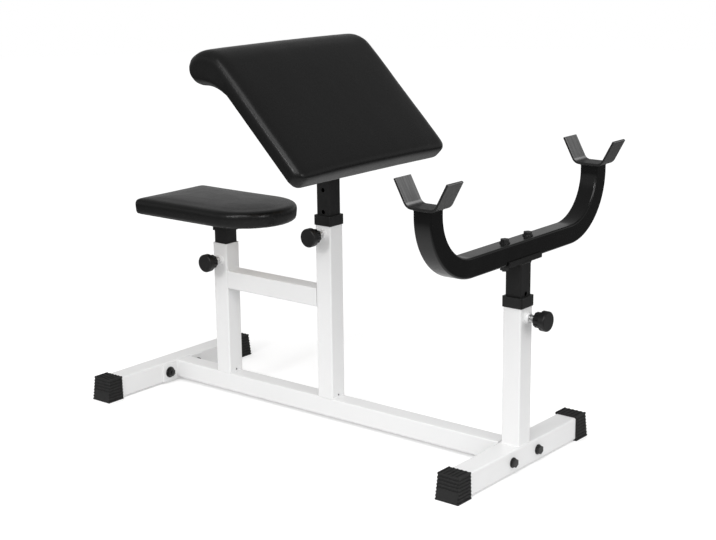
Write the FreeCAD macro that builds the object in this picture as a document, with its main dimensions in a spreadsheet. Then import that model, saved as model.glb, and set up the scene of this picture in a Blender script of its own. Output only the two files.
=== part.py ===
import FreeCAD, Part
import math
import os
import re
import Sketcher
from FreeCAD import Placement, Rotation, Vector

# Driving sizes: name, value in millimetres or degrees, what it measures
SIZES = [
    ("post_tube", 44, "square size of the sleeves, the beam and the tie"),
    ("post_wall", 1.5, "wall of the sleeves, the beam and the tie"),
    ("post_corner", 3, "outer corner radius of the sleeves, the beam and the tie"),
    ("foot_tube", 50, "square size of the foot tubes"),
    ("foot_wall", 2, "wall of the foot tubes"),
    ("foot_corner", 3.5, "outer corner radius of the foot tubes"),
    ("foot_length", 478, "length of a foot tube"),
    ("foot_spacing", 1021, "from the rear foot's centre line to the front foot's"),
    ("seat_from_rear", 192, "from the rear foot to the seat sleeve"),
    ("arm_from_seat", 324, "from the seat sleeve to the arm sleeve"),
    ("seat_sleeve_height", 322, "top of the seat sleeve above the beam"),
    ("arm_sleeve_height", 421, "top of the arm sleeve above the beam"),
    ("rest_sleeve_height", 313, "top of the rest sleeve above the front foot"),
    ("tie_height", 213.5, "underside of the tie tube above the beam"),
    ("drain_height", 6, "drain hole of a sleeve above the beam"),
    ("drain_radius", 2.5, "radius of a drain hole"),
    ("flange_thick", 5, "thickness of a flange plate at the beam's end"),
    ("flange_width", 140, "width of a flange plate across the bench"),
    ("flange_height", 46, "height of a flange plate"),
    ("cap_sole", 3, "rubber under a foot tube"),
    ("cap_roof", 3.5, "rubber over a foot tube, with its ribs"),
    ("cap_half_high", 27, "half width of a foot cap at its top"),
    ("cap_half_low", 28.5, "half width of a foot cap at the floor"),
    ("cap_end_high", 5, "rubber past the tube's end at the cap's top"),
    ("cap_end_low", 12, "rubber past the tube's end at the floor"),
    ("cap_cover", 35, "length of tube inside a foot cap"),
    ("cap_clearance", 0.1, "between a foot cap and its tube"),
    ("rib_depth", 0.9, "how far the ribs stand out of a foot cap"),
    ("rib_thick", 3.6, "height of one rib of a foot cap"),
    ("bolt_spread", 97, "between the two bolts of a foot"),
    ("bolt_size", 10, "thread diameter of the frame bolts"),
    ("bolt_hole", 10.6, "clearance hole of the frame bolts"),
    ("bolt_head_flats", 17, "across the flats of the heads and nuts"),
    ("bolt_head_height", 6.5, "height of a bolt head"),
    ("nut_height", 8, "height of a nut"),
    ("thread_clearance", 0.05, "between a screwed part and its hole"),
    ("thread_proud", 3, "bolt standing out of its nut"),
    ("washer_radius", 11, "radius of a washer"),
    ("wide_washer_radius", 13.5, "radius of the washers under the foot nuts"),
    ("washer_thick", 2, "thickness of a washer"),
    ("inner_tube", 38, "square size of the sliding posts"),
    ("inner_wall", 1.5, "wall of the sliding posts"),
    ("inner_corner", 2.5, "outer corner radius of the sliding posts"),
    ("slide_clearance", 0.1, "between a sliding post and its guide"),
    ("hole_pitch", 50, "between the adjusting holes"),
    ("hole_radius", 5, "radius of an adjusting hole"),
    ("post_tail", 30, "sliding post below its lowest adjusting hole"),
    ("plug_flange", 3, "plug under a sliding post"),
    ("plug_depth", 14, "plug inside a sliding post"),
    ("collar_size", 48.5, "square size of a collar"),
    ("collar_corner", 4, "corner radius of a collar"),
    ("collar_height", 23, "height of a collar"),
    ("collar_skirt", 15, "collar round the outside of the sleeve"),
    ("bush_depth", 22, "guide bush inside a sleeve"),
    ("seat_lock_drop", 40, "seat lock below the top of its sleeve"),
    ("arm_lock_drop", 34.5, "arm lock below the top of its sleeve"),
    ("rest_lock_drop", 37, "rest lock below the top of its sleeve"),
    ("lock_thread", 16, "diameter of a lock screw"),
    ("lock_clearance", 0.06, "between a lock screw and its nut"),
    ("lock_pin_size", 8, "diameter of a lock pin"),
    ("pin_clearance", 0.05, "between a lock pin and its seat in the screw"),
    ("pin_seat", 6, "depth of a lock pin in its screw"),
    ("lock_hole_clearance", 0.3, "between a lock screw and its hole in the sleeve"),
    ("pin_back_off", 0.3, "lock pin clear of the sliding post when backed off"),
    ("lock_travel", 3.5, "inward travel of a lock from backed off to locked"),
    ("lock_nut_radius", 10.5, "outer radius of a lock nut"),
    ("lock_nut_height", 9, "height of a lock nut"),
    ("lock_standoff", 22, "from the sleeve to the back of the knob"),
    ("knob_length", 31, "length of a knob"),
    ("knob_radius", 21.3, "radius of the knob's face"),
    ("knob_face_thick", 14, "thickness of the knob's face"),
    ("knob_face_round", 3, "rounded rim of the knob's face"),
    ("knob_neck_radius", 13, "radius of the knob's back, where the screw enters"),
    ("knob_neck_length", 2, "length of the bevel behind the knob's fins"),
    ("knob_fin_back", 16.4, "radius over the fins at the bevel"),
    ("knob_fin_front", 17, "radius over the fins at the face"),
    ("knob_flute_radius", 2.8, "radius of a flute between the fins"),
    ("knob_flute_place", 17.2, "from the knob's axis to a flute's axis"),
    ("knob_bore_depth", 16, "lock screw inside the knob"),
    ("socket_gap", 30, "between the seat sleeve and the socket above it"),
    ("seat_back", 189, "from the seat post to the seat's back edge"),
    ("seat_nose", 189, "from the seat post to the seat's nose"),
    ("seat_half_width", 115, "half width of the seat"),
    ("seat_thick", 35, "thickness of the seat at its rim"),
    ("seat_crown", 2.5, "rise of the seat's middle over its rim"),
    ("seat_edge", 8, "rounded upper edge of the seat"),
    ("seat_corner", 6, "rear corner radius of the seat"),
    ("seat_draw", 2, "how far the seat's sides draw in between its corners"),
    ("seat_hem", 2.4, "bevel round the seat's underside"),
    ("board_thick", 12, "thickness of the boards under the pads"),
    ("board_inset", 7, "cover wrapped round the edge of a board"),
    ("soft_clearance", 0.3, "between a pad and its neighbours"),
    ("seat_plate_length", 180, "seat plate along the bench"),
    ("seat_plate_width", 110, "seat plate across the bench"),
    ("seat_plate_thick", 3.5, "thickness of the seat plate"),
    ("socket_size", 45, "square size of the socket under the seat plate"),
    ("socket_height", 32, "height of the socket under the seat plate"),
    ("screw_size", 6, "diameter of the pad screws"),
    ("screw_hole", 6.6, "clearance hole of the pad screws"),
    ("screw_grip", 9, "pad screw inside its board"),
    ("screw_head_radius", 6, "radius of a pad screw's head"),
    ("screw_head_height", 3.5, "height of a pad screw's head"),
    ("screw_margin", 20, "from a pad screw to the edge of its plate"),
    ("arm_pad_rise", 228, "underside of the arm pad over its post, above the sleeve"),
    ("arm_slope", 45, "slope of the arm pad"),
    ("arm_pad_width", 500, "arm pad across the bench"),
    ("arm_pad_thick", 44, "thickness of the arm pad at its rim"),
    ("arm_pad_crown", 3, "rise of the arm pad's middle over its rim"),
    ("arm_pad_down", 158.5, "arm pad from its post to its lower edge"),
    ("arm_pad_edge", 12, "rounded edges of the arm pad"),
    ("arm_pad_foot_edge", 5, "rounded edge of the arm pad's underside"),
    ("arm_pad_draw", 2, "how far the lower edge draws in between its corners"),
    ("roll_up", 186, "arm pad from its post to the axis of its rolled top"),
    ("roll_drop", 18.4, "axis of the rolled top below the pad's underside"),
    ("roll_radius", 31.4, "radius of the rolled top"),
    ("roll_lead", 36, "where the flat top starts, past the rolled top's axis"),
    ("roll_hollow", 104, "radius of the hollow under the rolled top"),
    ("arm_plate_length", 140, "arm plate along the slope"),
    ("arm_plate_width", 200, "arm plate across the bench"),
    ("arm_plate_thick", 4, "thickness of the arm plate"),
    ("rest_setback", 6, "rest tube behind the axis of its post"),
    ("rest_plate_thick", 4, "thickness of the plate under the rest tube"),
    ("rest_plate_length", 120, "plate under the rest tube, across the bench"),
    ("rest_plate_rise", 79, "underside of that plate above the rest sleeve"),
    ("rest_lip", 7, "how far the plate's two lips stand up along the rest tube"),
    ("lip_clearance", 0.3, "between a lip and the rest tube"),
    ("rest_tube", 41.5, "square size of the rest tube"),
    ("rest_wall", 2, "wall of the rest tube"),
    ("rest_corner", 4, "outer corner radius of the rest tube"),
    ("rest_half_span", 304.5, "half the distance between the rest tube's legs"),
    ("rest_bend", 120, "bend radius of the rest tube's centre line"),
    ("rest_leg_height", 154.5, "top of the legs above the rest tube's underside"),
    ("rest_bolt_margin", 17, "from a bolt of the rest tube to the end of its plate"),
    ("cradle_width", 50, "width of a cradle's strap"),
    ("cradle_thick", 5, "thickness of a cradle's strap"),
    ("cradle_base", 67, "width of a cradle's base between its outer corners"),
    ("cradle_arm", 62, "length of a cradle's arm from the outer corner"),
    ("cradle_angle", 61.5, "rise of a cradle's arm"),
    ("cradle_bend", 16, "inner bend radius of a cradle"),
    ("overrun", 2, "how far a cutting tool runs past a face"),
]

# Places and fits that follow from the driving sizes
DERIVED = {
    "deck": "cap_sole + foot_tube",
    "foot_axis": "cap_sole + foot_tube / 2",
    "front_reach": "post_tube / 2 + lock_standoff + knob_length",
    "rear_reach": "foot_tube / 2 + washer_thick + bolt_head_height",
    "rear_x": "(rear_reach - foot_spacing - front_reach) / 2",
    "front_x": "rear_x + foot_spacing",
    "seat_x": "rear_x + seat_from_rear",
    "arm_x": "seat_x + arm_from_seat",
    "rest_x": "front_x - rest_setback",
    "beam_start": "rear_x + foot_tube / 2 + flange_thick",
    "beam_length": "foot_spacing - foot_tube - 2 * flange_thick",
    "sleeve_bore": "post_tube - 2 * post_wall",
    "sleeve_gap": "(post_tube - inner_tube) / 2",
    "bush_size": "sleeve_bore - 2 * slide_clearance",
    "guide_bore": "inner_tube + 2 * slide_clearance",
    "guide_corner": "inner_corner + slide_clearance",
    "cap_height": "cap_sole + foot_tube + cap_roof",
    "screw_start": "lock_travel + pin_back_off - sleeve_gap",
    "pin_tip": "pin_back_off - sleeve_gap",
    "seat_lock_height": "seat_sleeve_height - seat_lock_drop",
    "arm_lock_height": "arm_sleeve_height - arm_lock_drop",
    "rest_lock_height": "rest_sleeve_height - rest_lock_drop",
    "seat_height": "seat_sleeve_height + socket_gap + socket_height + seat_plate_thick",
    "arm_pad_height": "arm_sleeve_height + arm_pad_rise",
    "rest_plate_height": "rest_sleeve_height + rest_plate_rise",
    "seat_z": "deck + seat_height",
    "arm_z": "deck + arm_pad_height",
    "rest_plate_z": "deck + rest_plate_height",
    "rest_tube_z": "rest_plate_z + rest_plate_thick",
    "rest_top_z": "rest_tube_z + rest_leg_height",
    "rest_channel": "rest_tube + 2 * lip_clearance",
    "rest_plate_width": "rest_channel + 2 * rest_plate_thick",
    "rest_bolt_spread": "rest_plate_length - 2 * rest_bolt_margin",
}

# Adjusting holes of each sliding post, counted up and down from the one at its lock
SEAT_HOLES = (0, -1, -2)
ARM_HOLES = (2, 1, 0, -1, -2)
REST_HOLES = (1, 0, -1, -2)

KNOB_FLUTES = 10
CAP_SIDE_RIBS = 8
CAP_TOP_RIBS = 6
CAP_END_PLAIN_RIBS = 3

# Stations of the pads: share of the half width or of the edge, from the middle outwards
CROWN_SHARES = (0, 0.4, 0.75)
EDGE_ANGLES = (0, 30, 60, 90)
SEAT_CROWN_SHARES = (0, 0.35, 0.7)

# Largest share of the knob's face that its rim may take, smallest share of the seat's corner
# radius that an inset leaves, and share of the arm pad's edge that its ends draw in
RIM_SHARE = 0.45
CORNER_SHARE = 0.25
END_SHARE = 0.8

ALONG_X = Rotation(Vector(0, 1, 0), 90)
ALONG_Y = Rotation(Vector(1, 0, 0), -90)
TOWARDS_NEAR = Rotation(Vector(1, 0, 0), 90)
HALF_TURN = Rotation(Vector(0, 0, 1), 180)
UPRIGHT = Rotation()

doc = FreeCAD.newDocument("preacher_curl_bench")
sheet = doc.addObject("Spreadsheet::Sheet", "Sizes")
for row, (alias, value, meaning) in enumerate(SIZES, start=1):
    sheet.set(f"A{row}", meaning)
    sheet.set(f"B{row}", str(value))
    sheet.setAlias(f"B{row}", alias)
doc.recompute()
KNOWN = {alias for alias, value, meaning in SIZES}
nodes = []


def expand(formula, written):
    """Write a formula out in driving sizes, each one given by the function written."""
    def swap(match):
        name = match.group(0)
        if name in DERIVED:
            return "(" + expand(DERIVED[name], written) + ")"
        return written(name) if name in KNOWN else name
    return re.sub(r"[A-Za-z_]\w*", swap, formula)


def number(formula):
    """Value of a formula, from the numbers in the sheet."""
    text = expand(formula, lambda name: f"({sheet.get(name)})")
    return FreeCAD.Units.Quantity(text).Value


def bind(item, **formulas):
    """Tie properties of an object to formulas of the sheet."""
    for name, formula in formulas.items():
        item.setExpression(name, expand(formula, lambda size: f"Sizes.{size}"))
    return item


def place(item, x="0", y="0", z="0", turn=UPRIGHT):
    """Turn an object and tie its position to formulas."""
    item.Placement = Placement(Vector(), turn)
    for name, formula in (("x", x), ("y", y), ("z", z)):
        item.setExpression(f".Placement.Base.{name}", expand(formula, lambda size: f"Sizes.{size}"))
    return item


def keep(label, item):
    """Name a finished sub-part."""
    item.Label = label
    nodes.append(item)
    return item


def block(length, width, height, x="0", y="0", z="0"):
    """Box centred on x and y that stands on z."""
    item = bind(doc.addObject("Part::Box", "Block"), Length=length, Width=width, Height=height)
    return place(item, f"{x} - ({length}) / 2", f"{y} - ({width}) / 2", z)


def rod(radius, length, x="0", y="0", z="0", turn=UPRIGHT):
    """Cylinder that starts at a point and runs along the turned Z axis."""
    item = bind(doc.addObject("Part::Cylinder", "Rod"), Radius=radius, Height=length)
    return place(item, x, y, z, turn)


def hexagon(flats, height, x="0", y="0", z="0", turn=UPRIGHT):
    """Hexagonal prism of a width across its flats."""
    item = doc.addObject("Part::Prism", "Hexagon")
    item.Polygon = 6
    bind(item, Circumradius=f"({flats}) / {math.sqrt(3):.6f}", Height=height)
    return place(item, x, y, z, turn)


def fuse(*items):
    item = doc.addObject("Part::MultiFuse", "Fuse")
    item.Shapes = list(items)
    return item


def group(*items):
    item = doc.addObject("Part::Compound", "Group")
    item.Links = list(items)
    return item


def cut(base, *tools):
    item = doc.addObject("Part::Cut", "Cut")
    item.Base = base
    item.Tool = tools[0] if len(tools) == 1 else group(*tools)
    return item


def solid(name, shape):
    item = doc.addObject("Part::Feature", name)
    item.Shape = shape
    return item


def rounded_rectangle(sketch, width, radius):
    """Square with round corners about the sketch's origin, its sizes tied to formulas."""
    half = number(width) / 2
    r = number(radius)
    flat = half - r
    first = sketch.GeometryCount
    corners = [Vector(flat, -flat, 0), Vector(flat, flat, 0), Vector(-flat, flat, 0), Vector(-flat, -flat, 0)]
    sides = [
        (Vector(-flat, -half, 0), Vector(flat, -half, 0)),
        (Vector(half, -flat, 0), Vector(half, flat, 0)),
        (Vector(flat, half, 0), Vector(-flat, half, 0)),
        (Vector(-half, flat, 0), Vector(-half, -flat, 0)),
    ]
    for start, end in sides:
        sketch.addGeometry(Part.LineSegment(start, end))
    for quarter, centre in enumerate(corners):
        circle = Part.Circle(centre, Vector(0, 0, 1), r)
        turn = math.pi / 2
        sketch.addGeometry(Part.ArcOfCircle(circle, (quarter - 1) * turn, quarter * turn))
    for side in range(4):
        line = first + side
        arc = first + 4 + side
        after = first + (side + 1) % 4
        sketch.addConstraint(Sketcher.Constraint("Tangent", line, 2, arc, 1))
        sketch.addConstraint(Sketcher.Constraint("Tangent", arc, 2, after, 1))
        sketch.addConstraint(Sketcher.Constraint("Vertical" if side % 2 else "Horizontal", line))
        if side:
            sketch.addConstraint(Sketcher.Constraint("Equal", first + 4, arc))
    sketch.addConstraint(Sketcher.Constraint("Symmetric", first, 1, first + 2, 1, -1, 1))
    sizes = [
        ("DistanceX", (first + 3, 1, first + 1, 1), width, 2 * half),
        ("DistanceY", (first, 1, first + 2, 1), width, 2 * half),
        ("Radius", (first + 4,), radius, r),
    ]
    for kind, points, formula, value in sizes:
        index = sketch.addConstraint(Sketcher.Constraint(kind, *points, value))
        bind(sketch, **{f"Constraints[{index}]": formula})


def bar(outlines, length):
    """Body padded along Z from square outlines, each a width and a corner radius."""
    body = doc.addObject("PartDesign::Body", "Bar")
    sketch = body.newObject("Sketcher::SketchObject", "Outline")
    floor = [plane for plane in body.Origin.OriginFeatures if plane.Role == "XY_Plane"]
    sketch.AttachmentSupport = [(floor[0], "")]
    sketch.MapMode = "FlatFace"
    for width, radius in outlines:
        rounded_rectangle(sketch, width, radius)
    pad = body.newObject("PartDesign::Pad", "Run")
    pad.Profile = sketch
    bind(pad, Length=length)
    return body


def square_tube(width, wall, corner, length):
    return bar([(width, corner), (f"{width} - 2 * {wall}", f"{corner} - {wall}")], length)


# Feet, beam and flange plates
def foot_holes(x):
    reach = "foot_tube + 2 * (flange_thick + overrun)"
    start = f"{x} - foot_tube / 2 - flange_thick - overrun"
    return [rod("bolt_hole / 2", reach, start, f"{side} * bolt_spread / 2", "foot_axis", ALONG_X)
            for side in (-1, 1)]


for end, x in (("rear", "rear_x"), ("front", "front_x")):
    tube = square_tube("foot_tube", "foot_wall", "foot_corner", "foot_length")
    place(tube, x, "-foot_length / 2", "foot_axis", ALONG_Y)
    keep(f"{end}_foot_tube", cut(tube, *foot_holes(x)))
    inward = 1 if end == "rear" else -1
    plate = block("flange_thick", "flange_width", "flange_height",
                  f"{x} + {inward} * (foot_tube + flange_thick) / 2", "0",
                  "foot_axis - flange_height / 2")
    keep(f"{end}_flange_plate", cut(plate, *foot_holes(x)))

beam = square_tube("post_tube", "post_wall", "post_corner", "beam_length")
keep("main_beam", place(beam, "beam_start", "0", "deck - post_tube / 2", ALONG_X))


# Foot caps, modelled with the tube's end at y = 0 and the floor at z = 0
def cap_wedge(inset, low_share, high_share):
    """Slice of the flared cap between two shares of its height, drawn in by an inset."""
    item = doc.addObject("Part::Wedge", "Slice")
    half = "(cap_half_low + (cap_half_high - cap_half_low) * {0} - {1})"
    end = "(cap_end_low + (cap_end_high - cap_end_low) * {0} - {1})"
    low = (half.format(low_share, inset), end.format(low_share, inset))
    high = (half.format(high_share, inset), end.format(high_share, inset))
    top = f"({high_share}) * (cap_height - rib_depth)"
    bind(item, Ymin=f"({low_share}) * (cap_height - rib_depth)", Ymax=top,
         Xmin=f"-{low[0]}", Xmax=low[0], X2min=f"-{high[0]}", X2max=high[0],
         Zmin=f"-{low[1]}", Zmax="cap_cover", Z2min=f"-{high[1]}", Z2max="cap_cover")
    return place(item, turn=TOWARDS_NEAR)


def foot_cap():
    pieces = [cap_wedge("rib_depth", "0", "1")]
    rib_share = "rib_thick / cap_height"
    for rib in range(CAP_SIDE_RIBS):
        low = f"({rib} / {CAP_SIDE_RIBS - 1}) * (1 - {rib_share})"
        pieces.append(cap_wedge("0", low, f"({low} + {rib_share})"))
    plain = f"({CAP_END_PLAIN_RIBS} / {CAP_SIDE_RIBS - 1})"
    panel = cap_wedge("0", "0", plain)
    half_panel = "(cap_half_high - rib_depth)"
    trim = block(f"2 * {half_panel}", "cap_end_low + overrun", "cap_height", "0",
                 "(cap_end_low + overrun) / 2", "-overrun")
    common = doc.addObject("Part::Common", "Panel")
    common.Base = panel
    common.Tool = trim
    pieces.append(common)
    for rib in range(CAP_TOP_RIBS):
        across = f"({rib} / {CAP_TOP_RIBS - 1} - 0.5) * (2 * cap_half_high - rib_thick)"
        pieces.append(block("rib_thick", "cap_cover + cap_end_high", "cap_roof - overrun / 2", across,
                            "(cap_end_high - cap_cover) / 2", "cap_sole + foot_tube + overrun / 2"))
    socket = bar([("foot_tube + 2 * cap_clearance", "foot_corner")], "cap_cover + overrun")
    place(socket, "0", "-cap_cover - overrun", "foot_axis", ALONG_Y)
    return cut(fuse(*pieces), socket)


for end, x in (("rear", "rear_x"), ("front", "front_x")):
    for side, sign, turn in (("left", -1, HALF_TURN), ("right", 1, UPRIGHT)):
        cap = place(foot_cap(), x, f"{sign} * foot_length / 2", "0", turn)
        keep(f"{end}_{side}_foot_cap", cap)


# Bolts through the feet: heads outside, nuts against the flange plates
foot_grip = "foot_tube + flange_thick + 2 * washer_thick"
bolts = []
washers = []
nuts = []
for inward, x in ((1, "rear_x"), (-1, "front_x")):
    inner_turn = ALONG_X if inward > 0 else Rotation(Vector(0, 1, 0), -90)
    outer_face = f"{x} - {inward} * foot_tube / 2"
    inner_face = f"{x} + {inward} * (foot_tube / 2 + flange_thick)"
    for side in (-1, 1):
        y = f"{side} * bolt_spread / 2"
        head_start = f"{outer_face} - {inward} * (washer_thick + bolt_head_height)"
        head = hexagon("bolt_head_flats", "bolt_head_height", head_start, y, "foot_axis", inner_turn)
        shank_length = f"{foot_grip} + bolt_head_height + nut_height + thread_proud"
        shank = rod("bolt_size / 2", shank_length, head_start, y, "foot_axis", inner_turn)
        bolts.append(fuse(head, shank))
        for radius, start in (("washer_radius", f"{outer_face} - {inward} * washer_thick"),
                              ("wide_washer_radius", inner_face)):
            disc = rod(radius, "washer_thick", start, y, "foot_axis", inner_turn)
            bore = rod("bolt_hole / 2", "washer_thick", start, y, "foot_axis", inner_turn)
            washers.append(cut(disc, bore))
        nut_start = f"{inner_face} + {inward} * washer_thick"
        nut = hexagon("bolt_head_flats", "nut_height", nut_start, y, "foot_axis", inner_turn)
        bore = rod("bolt_size / 2 + thread_clearance", "nut_height", nut_start, y, "foot_axis", inner_turn)
        nuts.append(cut(nut, bore))
keep("foot_bolts", group(*bolts))
keep("foot_washers", group(*washers))
keep("foot_nuts", group(*nuts))


# Upright sleeves with their lock holes and drain holes, and the tie between two of them
def on_lock(lock, along):
    """Position on a lock's axis, measured outwards from the sleeve's face."""
    if lock["turn"] is ALONG_X:
        return lock["x"] + f" + post_tube / 2 + {along}", "0", lock["z"]
    return lock["x"], f"-(post_tube / 2 + {along})", lock["z"]


LOCKS = {
    "seat": {"x": "seat_x", "z": "deck + seat_lock_height", "turn": TOWARDS_NEAR,
             "sleeve": "seat_sleeve_height", "holes": SEAT_HOLES},
    "arm": {"x": "arm_x", "z": "deck + arm_lock_height", "turn": TOWARDS_NEAR,
            "sleeve": "arm_sleeve_height", "holes": ARM_HOLES},
    "rest": {"x": "front_x", "z": "deck + rest_lock_height", "turn": ALONG_X,
             "sleeve": "rest_sleeve_height", "holes": REST_HOLES},
}

for name, lock in LOCKS.items():
    tube = square_tube("post_tube", "post_wall", "post_corner", lock["sleeve"])
    place(tube, lock["x"], "0", "deck")
    x, y, z = on_lock(lock, "(-post_wall - overrun)")
    tools = [rod("lock_thread / 2 + lock_hole_clearance", "post_wall + 2 * overrun", x, y, z, lock["turn"])]
    if name != "rest":
        drain_x = lock["x"] + " + post_tube / 2 - post_wall - overrun"
        tools.append(rod("drain_radius", "post_wall + 2 * overrun", drain_x, "0",
                         "deck + drain_height", ALONG_X))
    keep(f"{name}_sleeve", cut(tube, *tools))

tie = square_tube("post_tube", "post_wall", "post_corner", "arm_from_seat - post_tube")
place(tie, "seat_x + post_tube / 2", "0", "deck + tie_height + post_tube / 2", ALONG_X)
keep("tie_tube", tie)


# Guides for the sliding posts: collars on two sleeves, a flush bush in the third
def guide_bush(lock, top):
    bush = bar([("bush_size", "post_corner - post_wall")], top)
    return place(bush, lock["x"], "0", f"deck + {lock['sleeve']} - bush_depth")


def guide_bore(lock):
    bore = bar([("guide_bore", "guide_corner")], "bush_depth + collar_height + 2 * overrun")
    return place(bore, lock["x"], "0", f"deck + {lock['sleeve']} - bush_depth - overrun")


for name in ("arm", "rest"):
    lock = LOCKS[name]
    bottom = f"deck + {lock['sleeve']} - collar_skirt"
    outside = place(bar([("collar_size", "collar_corner")], "collar_height"), lock["x"], "0", bottom)
    skirt_size = "post_tube + 2 * slide_clearance"
    skirt = bar([(skirt_size, "post_corner + slide_clearance")], "collar_skirt + overrun")
    place(skirt, lock["x"], "0", f"{bottom} - overrun")
    collar = fuse(cut(outside, skirt), guide_bush(lock, "bush_depth + overrun"))
    keep(f"{name}_collar", cut(collar, guide_bore(lock)))
keep("seat_bush", cut(guide_bush(LOCKS["seat"], "bush_depth"), guide_bore(LOCKS["seat"])))


# Sliding posts with their adjusting holes, and the plugs in their lower ends
def post_bottom(lock):
    return f"{lock['z']} - {-min(lock['holes'])} * hole_pitch - post_tail"


def sliding_post(lock, top):
    bottom = post_bottom(lock)
    tube = square_tube("inner_tube", "inner_wall", "inner_corner", f"{top} - ({bottom})")
    place(tube, lock["x"], "0", bottom)
    tools = []
    for step in lock["holes"]:
        x, y, z = on_lock(lock, "(-sleeve_gap - inner_wall - overrun)")
        hole_z = f"{z} + ({step}) * hole_pitch"
        tools.append(rod("hole_radius", "inner_wall + 2 * overrun", x, y, hole_z, lock["turn"]))
    return cut(tube, *tools)


def post_plug(lock):
    bottom = post_bottom(lock)
    bore = "inner_tube - 2 * inner_wall - 2 * slide_clearance"
    flange = bar([("bush_size", "post_corner - post_wall")], "plug_flange")
    place(flange, lock["x"], "0", f"{bottom} - plug_flange")
    core = bar([(bore, "inner_corner - inner_wall")], "plug_flange + plug_depth")
    return fuse(flange, place(core, lock["x"], "0", f"{bottom} - plug_flange"))


for name, lock in LOCKS.items():
    keep(f"{name}_post_plug", post_plug(lock))


# Locks: nut on the sleeve, screw in the nut, pin in the screw, knob on the screw
def knob():
    """Knob along Z, with its back at z = 0."""
    fin_length = "knob_length - knob_face_thick - knob_neck_length"
    bevel = bind(doc.addObject("Part::Cone", "Bevel"),
                 Radius1="knob_neck_radius", Radius2="knob_fin_back", Height="knob_neck_length")
    fins = bind(doc.addObject("Part::Cone", "Fins"),
                Radius1="knob_fin_back", Radius2="knob_fin_front", Height=fin_length)
    place(fins, z="knob_neck_length")
    flutes = []
    for flute in range(KNOB_FLUTES):
        angle = 2 * math.pi * flute / KNOB_FLUTES
        flutes.append(rod("knob_flute_radius", "knob_length - knob_face_thick",
                          f"knob_flute_place * {math.cos(angle):.6f}",
                          f"knob_flute_place * {math.sin(angle):.6f}"))
    face = rod("knob_radius", "knob_face_thick", z="knob_length - knob_face_thick")
    rim = doc.addObject("Part::Fillet", "Rim")
    rim.Base = face
    doc.recompute()
    round_edge = min(number("knob_face_round"), RIM_SHARE * number("knob_face_thick"))
    rim.Edges = [(1, round_edge, round_edge), (3, round_edge, round_edge)]
    bore = rod("lock_thread / 2 + thread_clearance", "knob_bore_depth + overrun", z="-overrun")
    return cut(fuse(cut(fuse(bevel, fins), *flutes), rim), bore)


for name, lock in LOCKS.items():
    turn = lock["turn"]
    x, y, z = on_lock(lock, "0")
    nut = rod("lock_nut_radius", "lock_nut_height", x, y, z, turn)
    bore = rod("lock_thread / 2 + lock_clearance", "lock_nut_height", x, y, z, turn)
    keep(f"{name}_lock_nut", cut(nut, bore))

    x, y, z = on_lock(lock, "screw_start")
    shank_length = "lock_standoff + knob_bore_depth - screw_start"
    shank = rod("lock_thread / 2", shank_length, x, y, z, turn)
    seat = rod("lock_pin_size / 2 + pin_clearance", "pin_seat", x, y, z, turn)
    keep(f"{name}_lock_screw", cut(shank, seat))

    x, y, z = on_lock(lock, "pin_tip")
    pin_length = "screw_start + pin_seat - pin_clearance - pin_tip"
    keep(f"{name}_lock_pin", rod("lock_pin_size / 2", pin_length, x, y, z, turn))

    x, y, z = on_lock(lock, "lock_standoff")
    keep(f"{name}_lock_knob", place(knob(), x, y, z, turn))


# Pad screws: heads under a plate, shanks up into a board, at the corners of the plate
def screw_places(length, width):
    return [(f"{i} * ({length} / 2 - screw_margin)", f"{j} * ({width} / 2 - screw_margin)")
            for i in (-1, 1) for j in (-1, 1)]


def pad_screws(places, plate):
    screws = []
    for x, y in places:
        head = rod("screw_head_radius", "screw_head_height", x, y, f"-{plate} - screw_head_height")
        shank = rod("screw_size / 2", f"{plate} + screw_grip", x, y, f"-{plate}")
        screws.append(fuse(head, shank))
    return group(*screws)


def screw_holes(places, start, length):
    return [rod("screw_hole / 2", length, x, y, start) for x, y in places]


# Seat: local frame with x along the bench, origin on the post's axis at the pad's underside
def seat_outline(inset, z):
    """Closed outline: drawn-in back and sides, round rear corners and a half round nose."""
    back = -number("seat_back") + inset
    half = number("seat_half_width") - inset
    nose = number("seat_nose") - number("seat_half_width")
    corner = max(number("seat_corner") - inset, CORNER_SHARE * number("seat_corner"))
    draw = number("seat_draw")
    diagonal = corner * (1 - math.sqrt(0.5))

    def spot(x, y):
        return Vector(x, y, z)
    runs = [
        (spot(back, half - corner), spot(back + draw, 0), spot(back, corner - half)),
        (spot(back, corner - half), spot(back + diagonal, diagonal - half), spot(back + corner, -half)),
        (spot(back + corner, -half), spot((back + corner + nose) / 2, draw - half), spot(nose, -half)),
    ]
    edge = half * math.sqrt(0.5)
    runs.append((spot(nose, -half), spot(nose + edge, -edge), spot(nose + half, 0)))
    runs.append((spot(nose + half, 0), spot(nose + edge, edge), spot(nose, half)))
    for start, middle, end in reversed(runs[1:3]):
        runs.append(tuple(Vector(point.x, -point.y, z) for point in (end, middle, start)))
    return Part.Wire([Part.Arc(*run).toShape() for run in runs])


def seat_pad_shape():
    """Loft through outlines from the underside up over the rounded edge to the crown."""
    thick = number("seat_thick")
    edge = number("seat_edge")
    crown = number("seat_crown")
    hem = number("seat_hem")
    sections = [seat_outline(hem, 0), seat_outline(0, hem)]
    for angle in EDGE_ANGLES:
        turn = math.radians(angle)
        inset = edge * (1 - math.cos(turn))
        sections.append(seat_outline(inset, thick - edge + edge * math.sin(turn)))
    reach = number("seat_half_width") - edge
    for share in SEAT_CROWN_SHARES[1:]:
        inset = edge + share * reach
        sections.append(seat_outline(inset, thick + crown * (1 - (1 - share) ** 2)))
    return Part.makeLoft(sections, True, True)


def seat_board_shape(spare):
    inset = number("board_inset") - spare
    face = Part.Face(seat_outline(inset, 0))
    return face.extrude(Vector(0, 0, number("board_thick") + spare))


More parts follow.
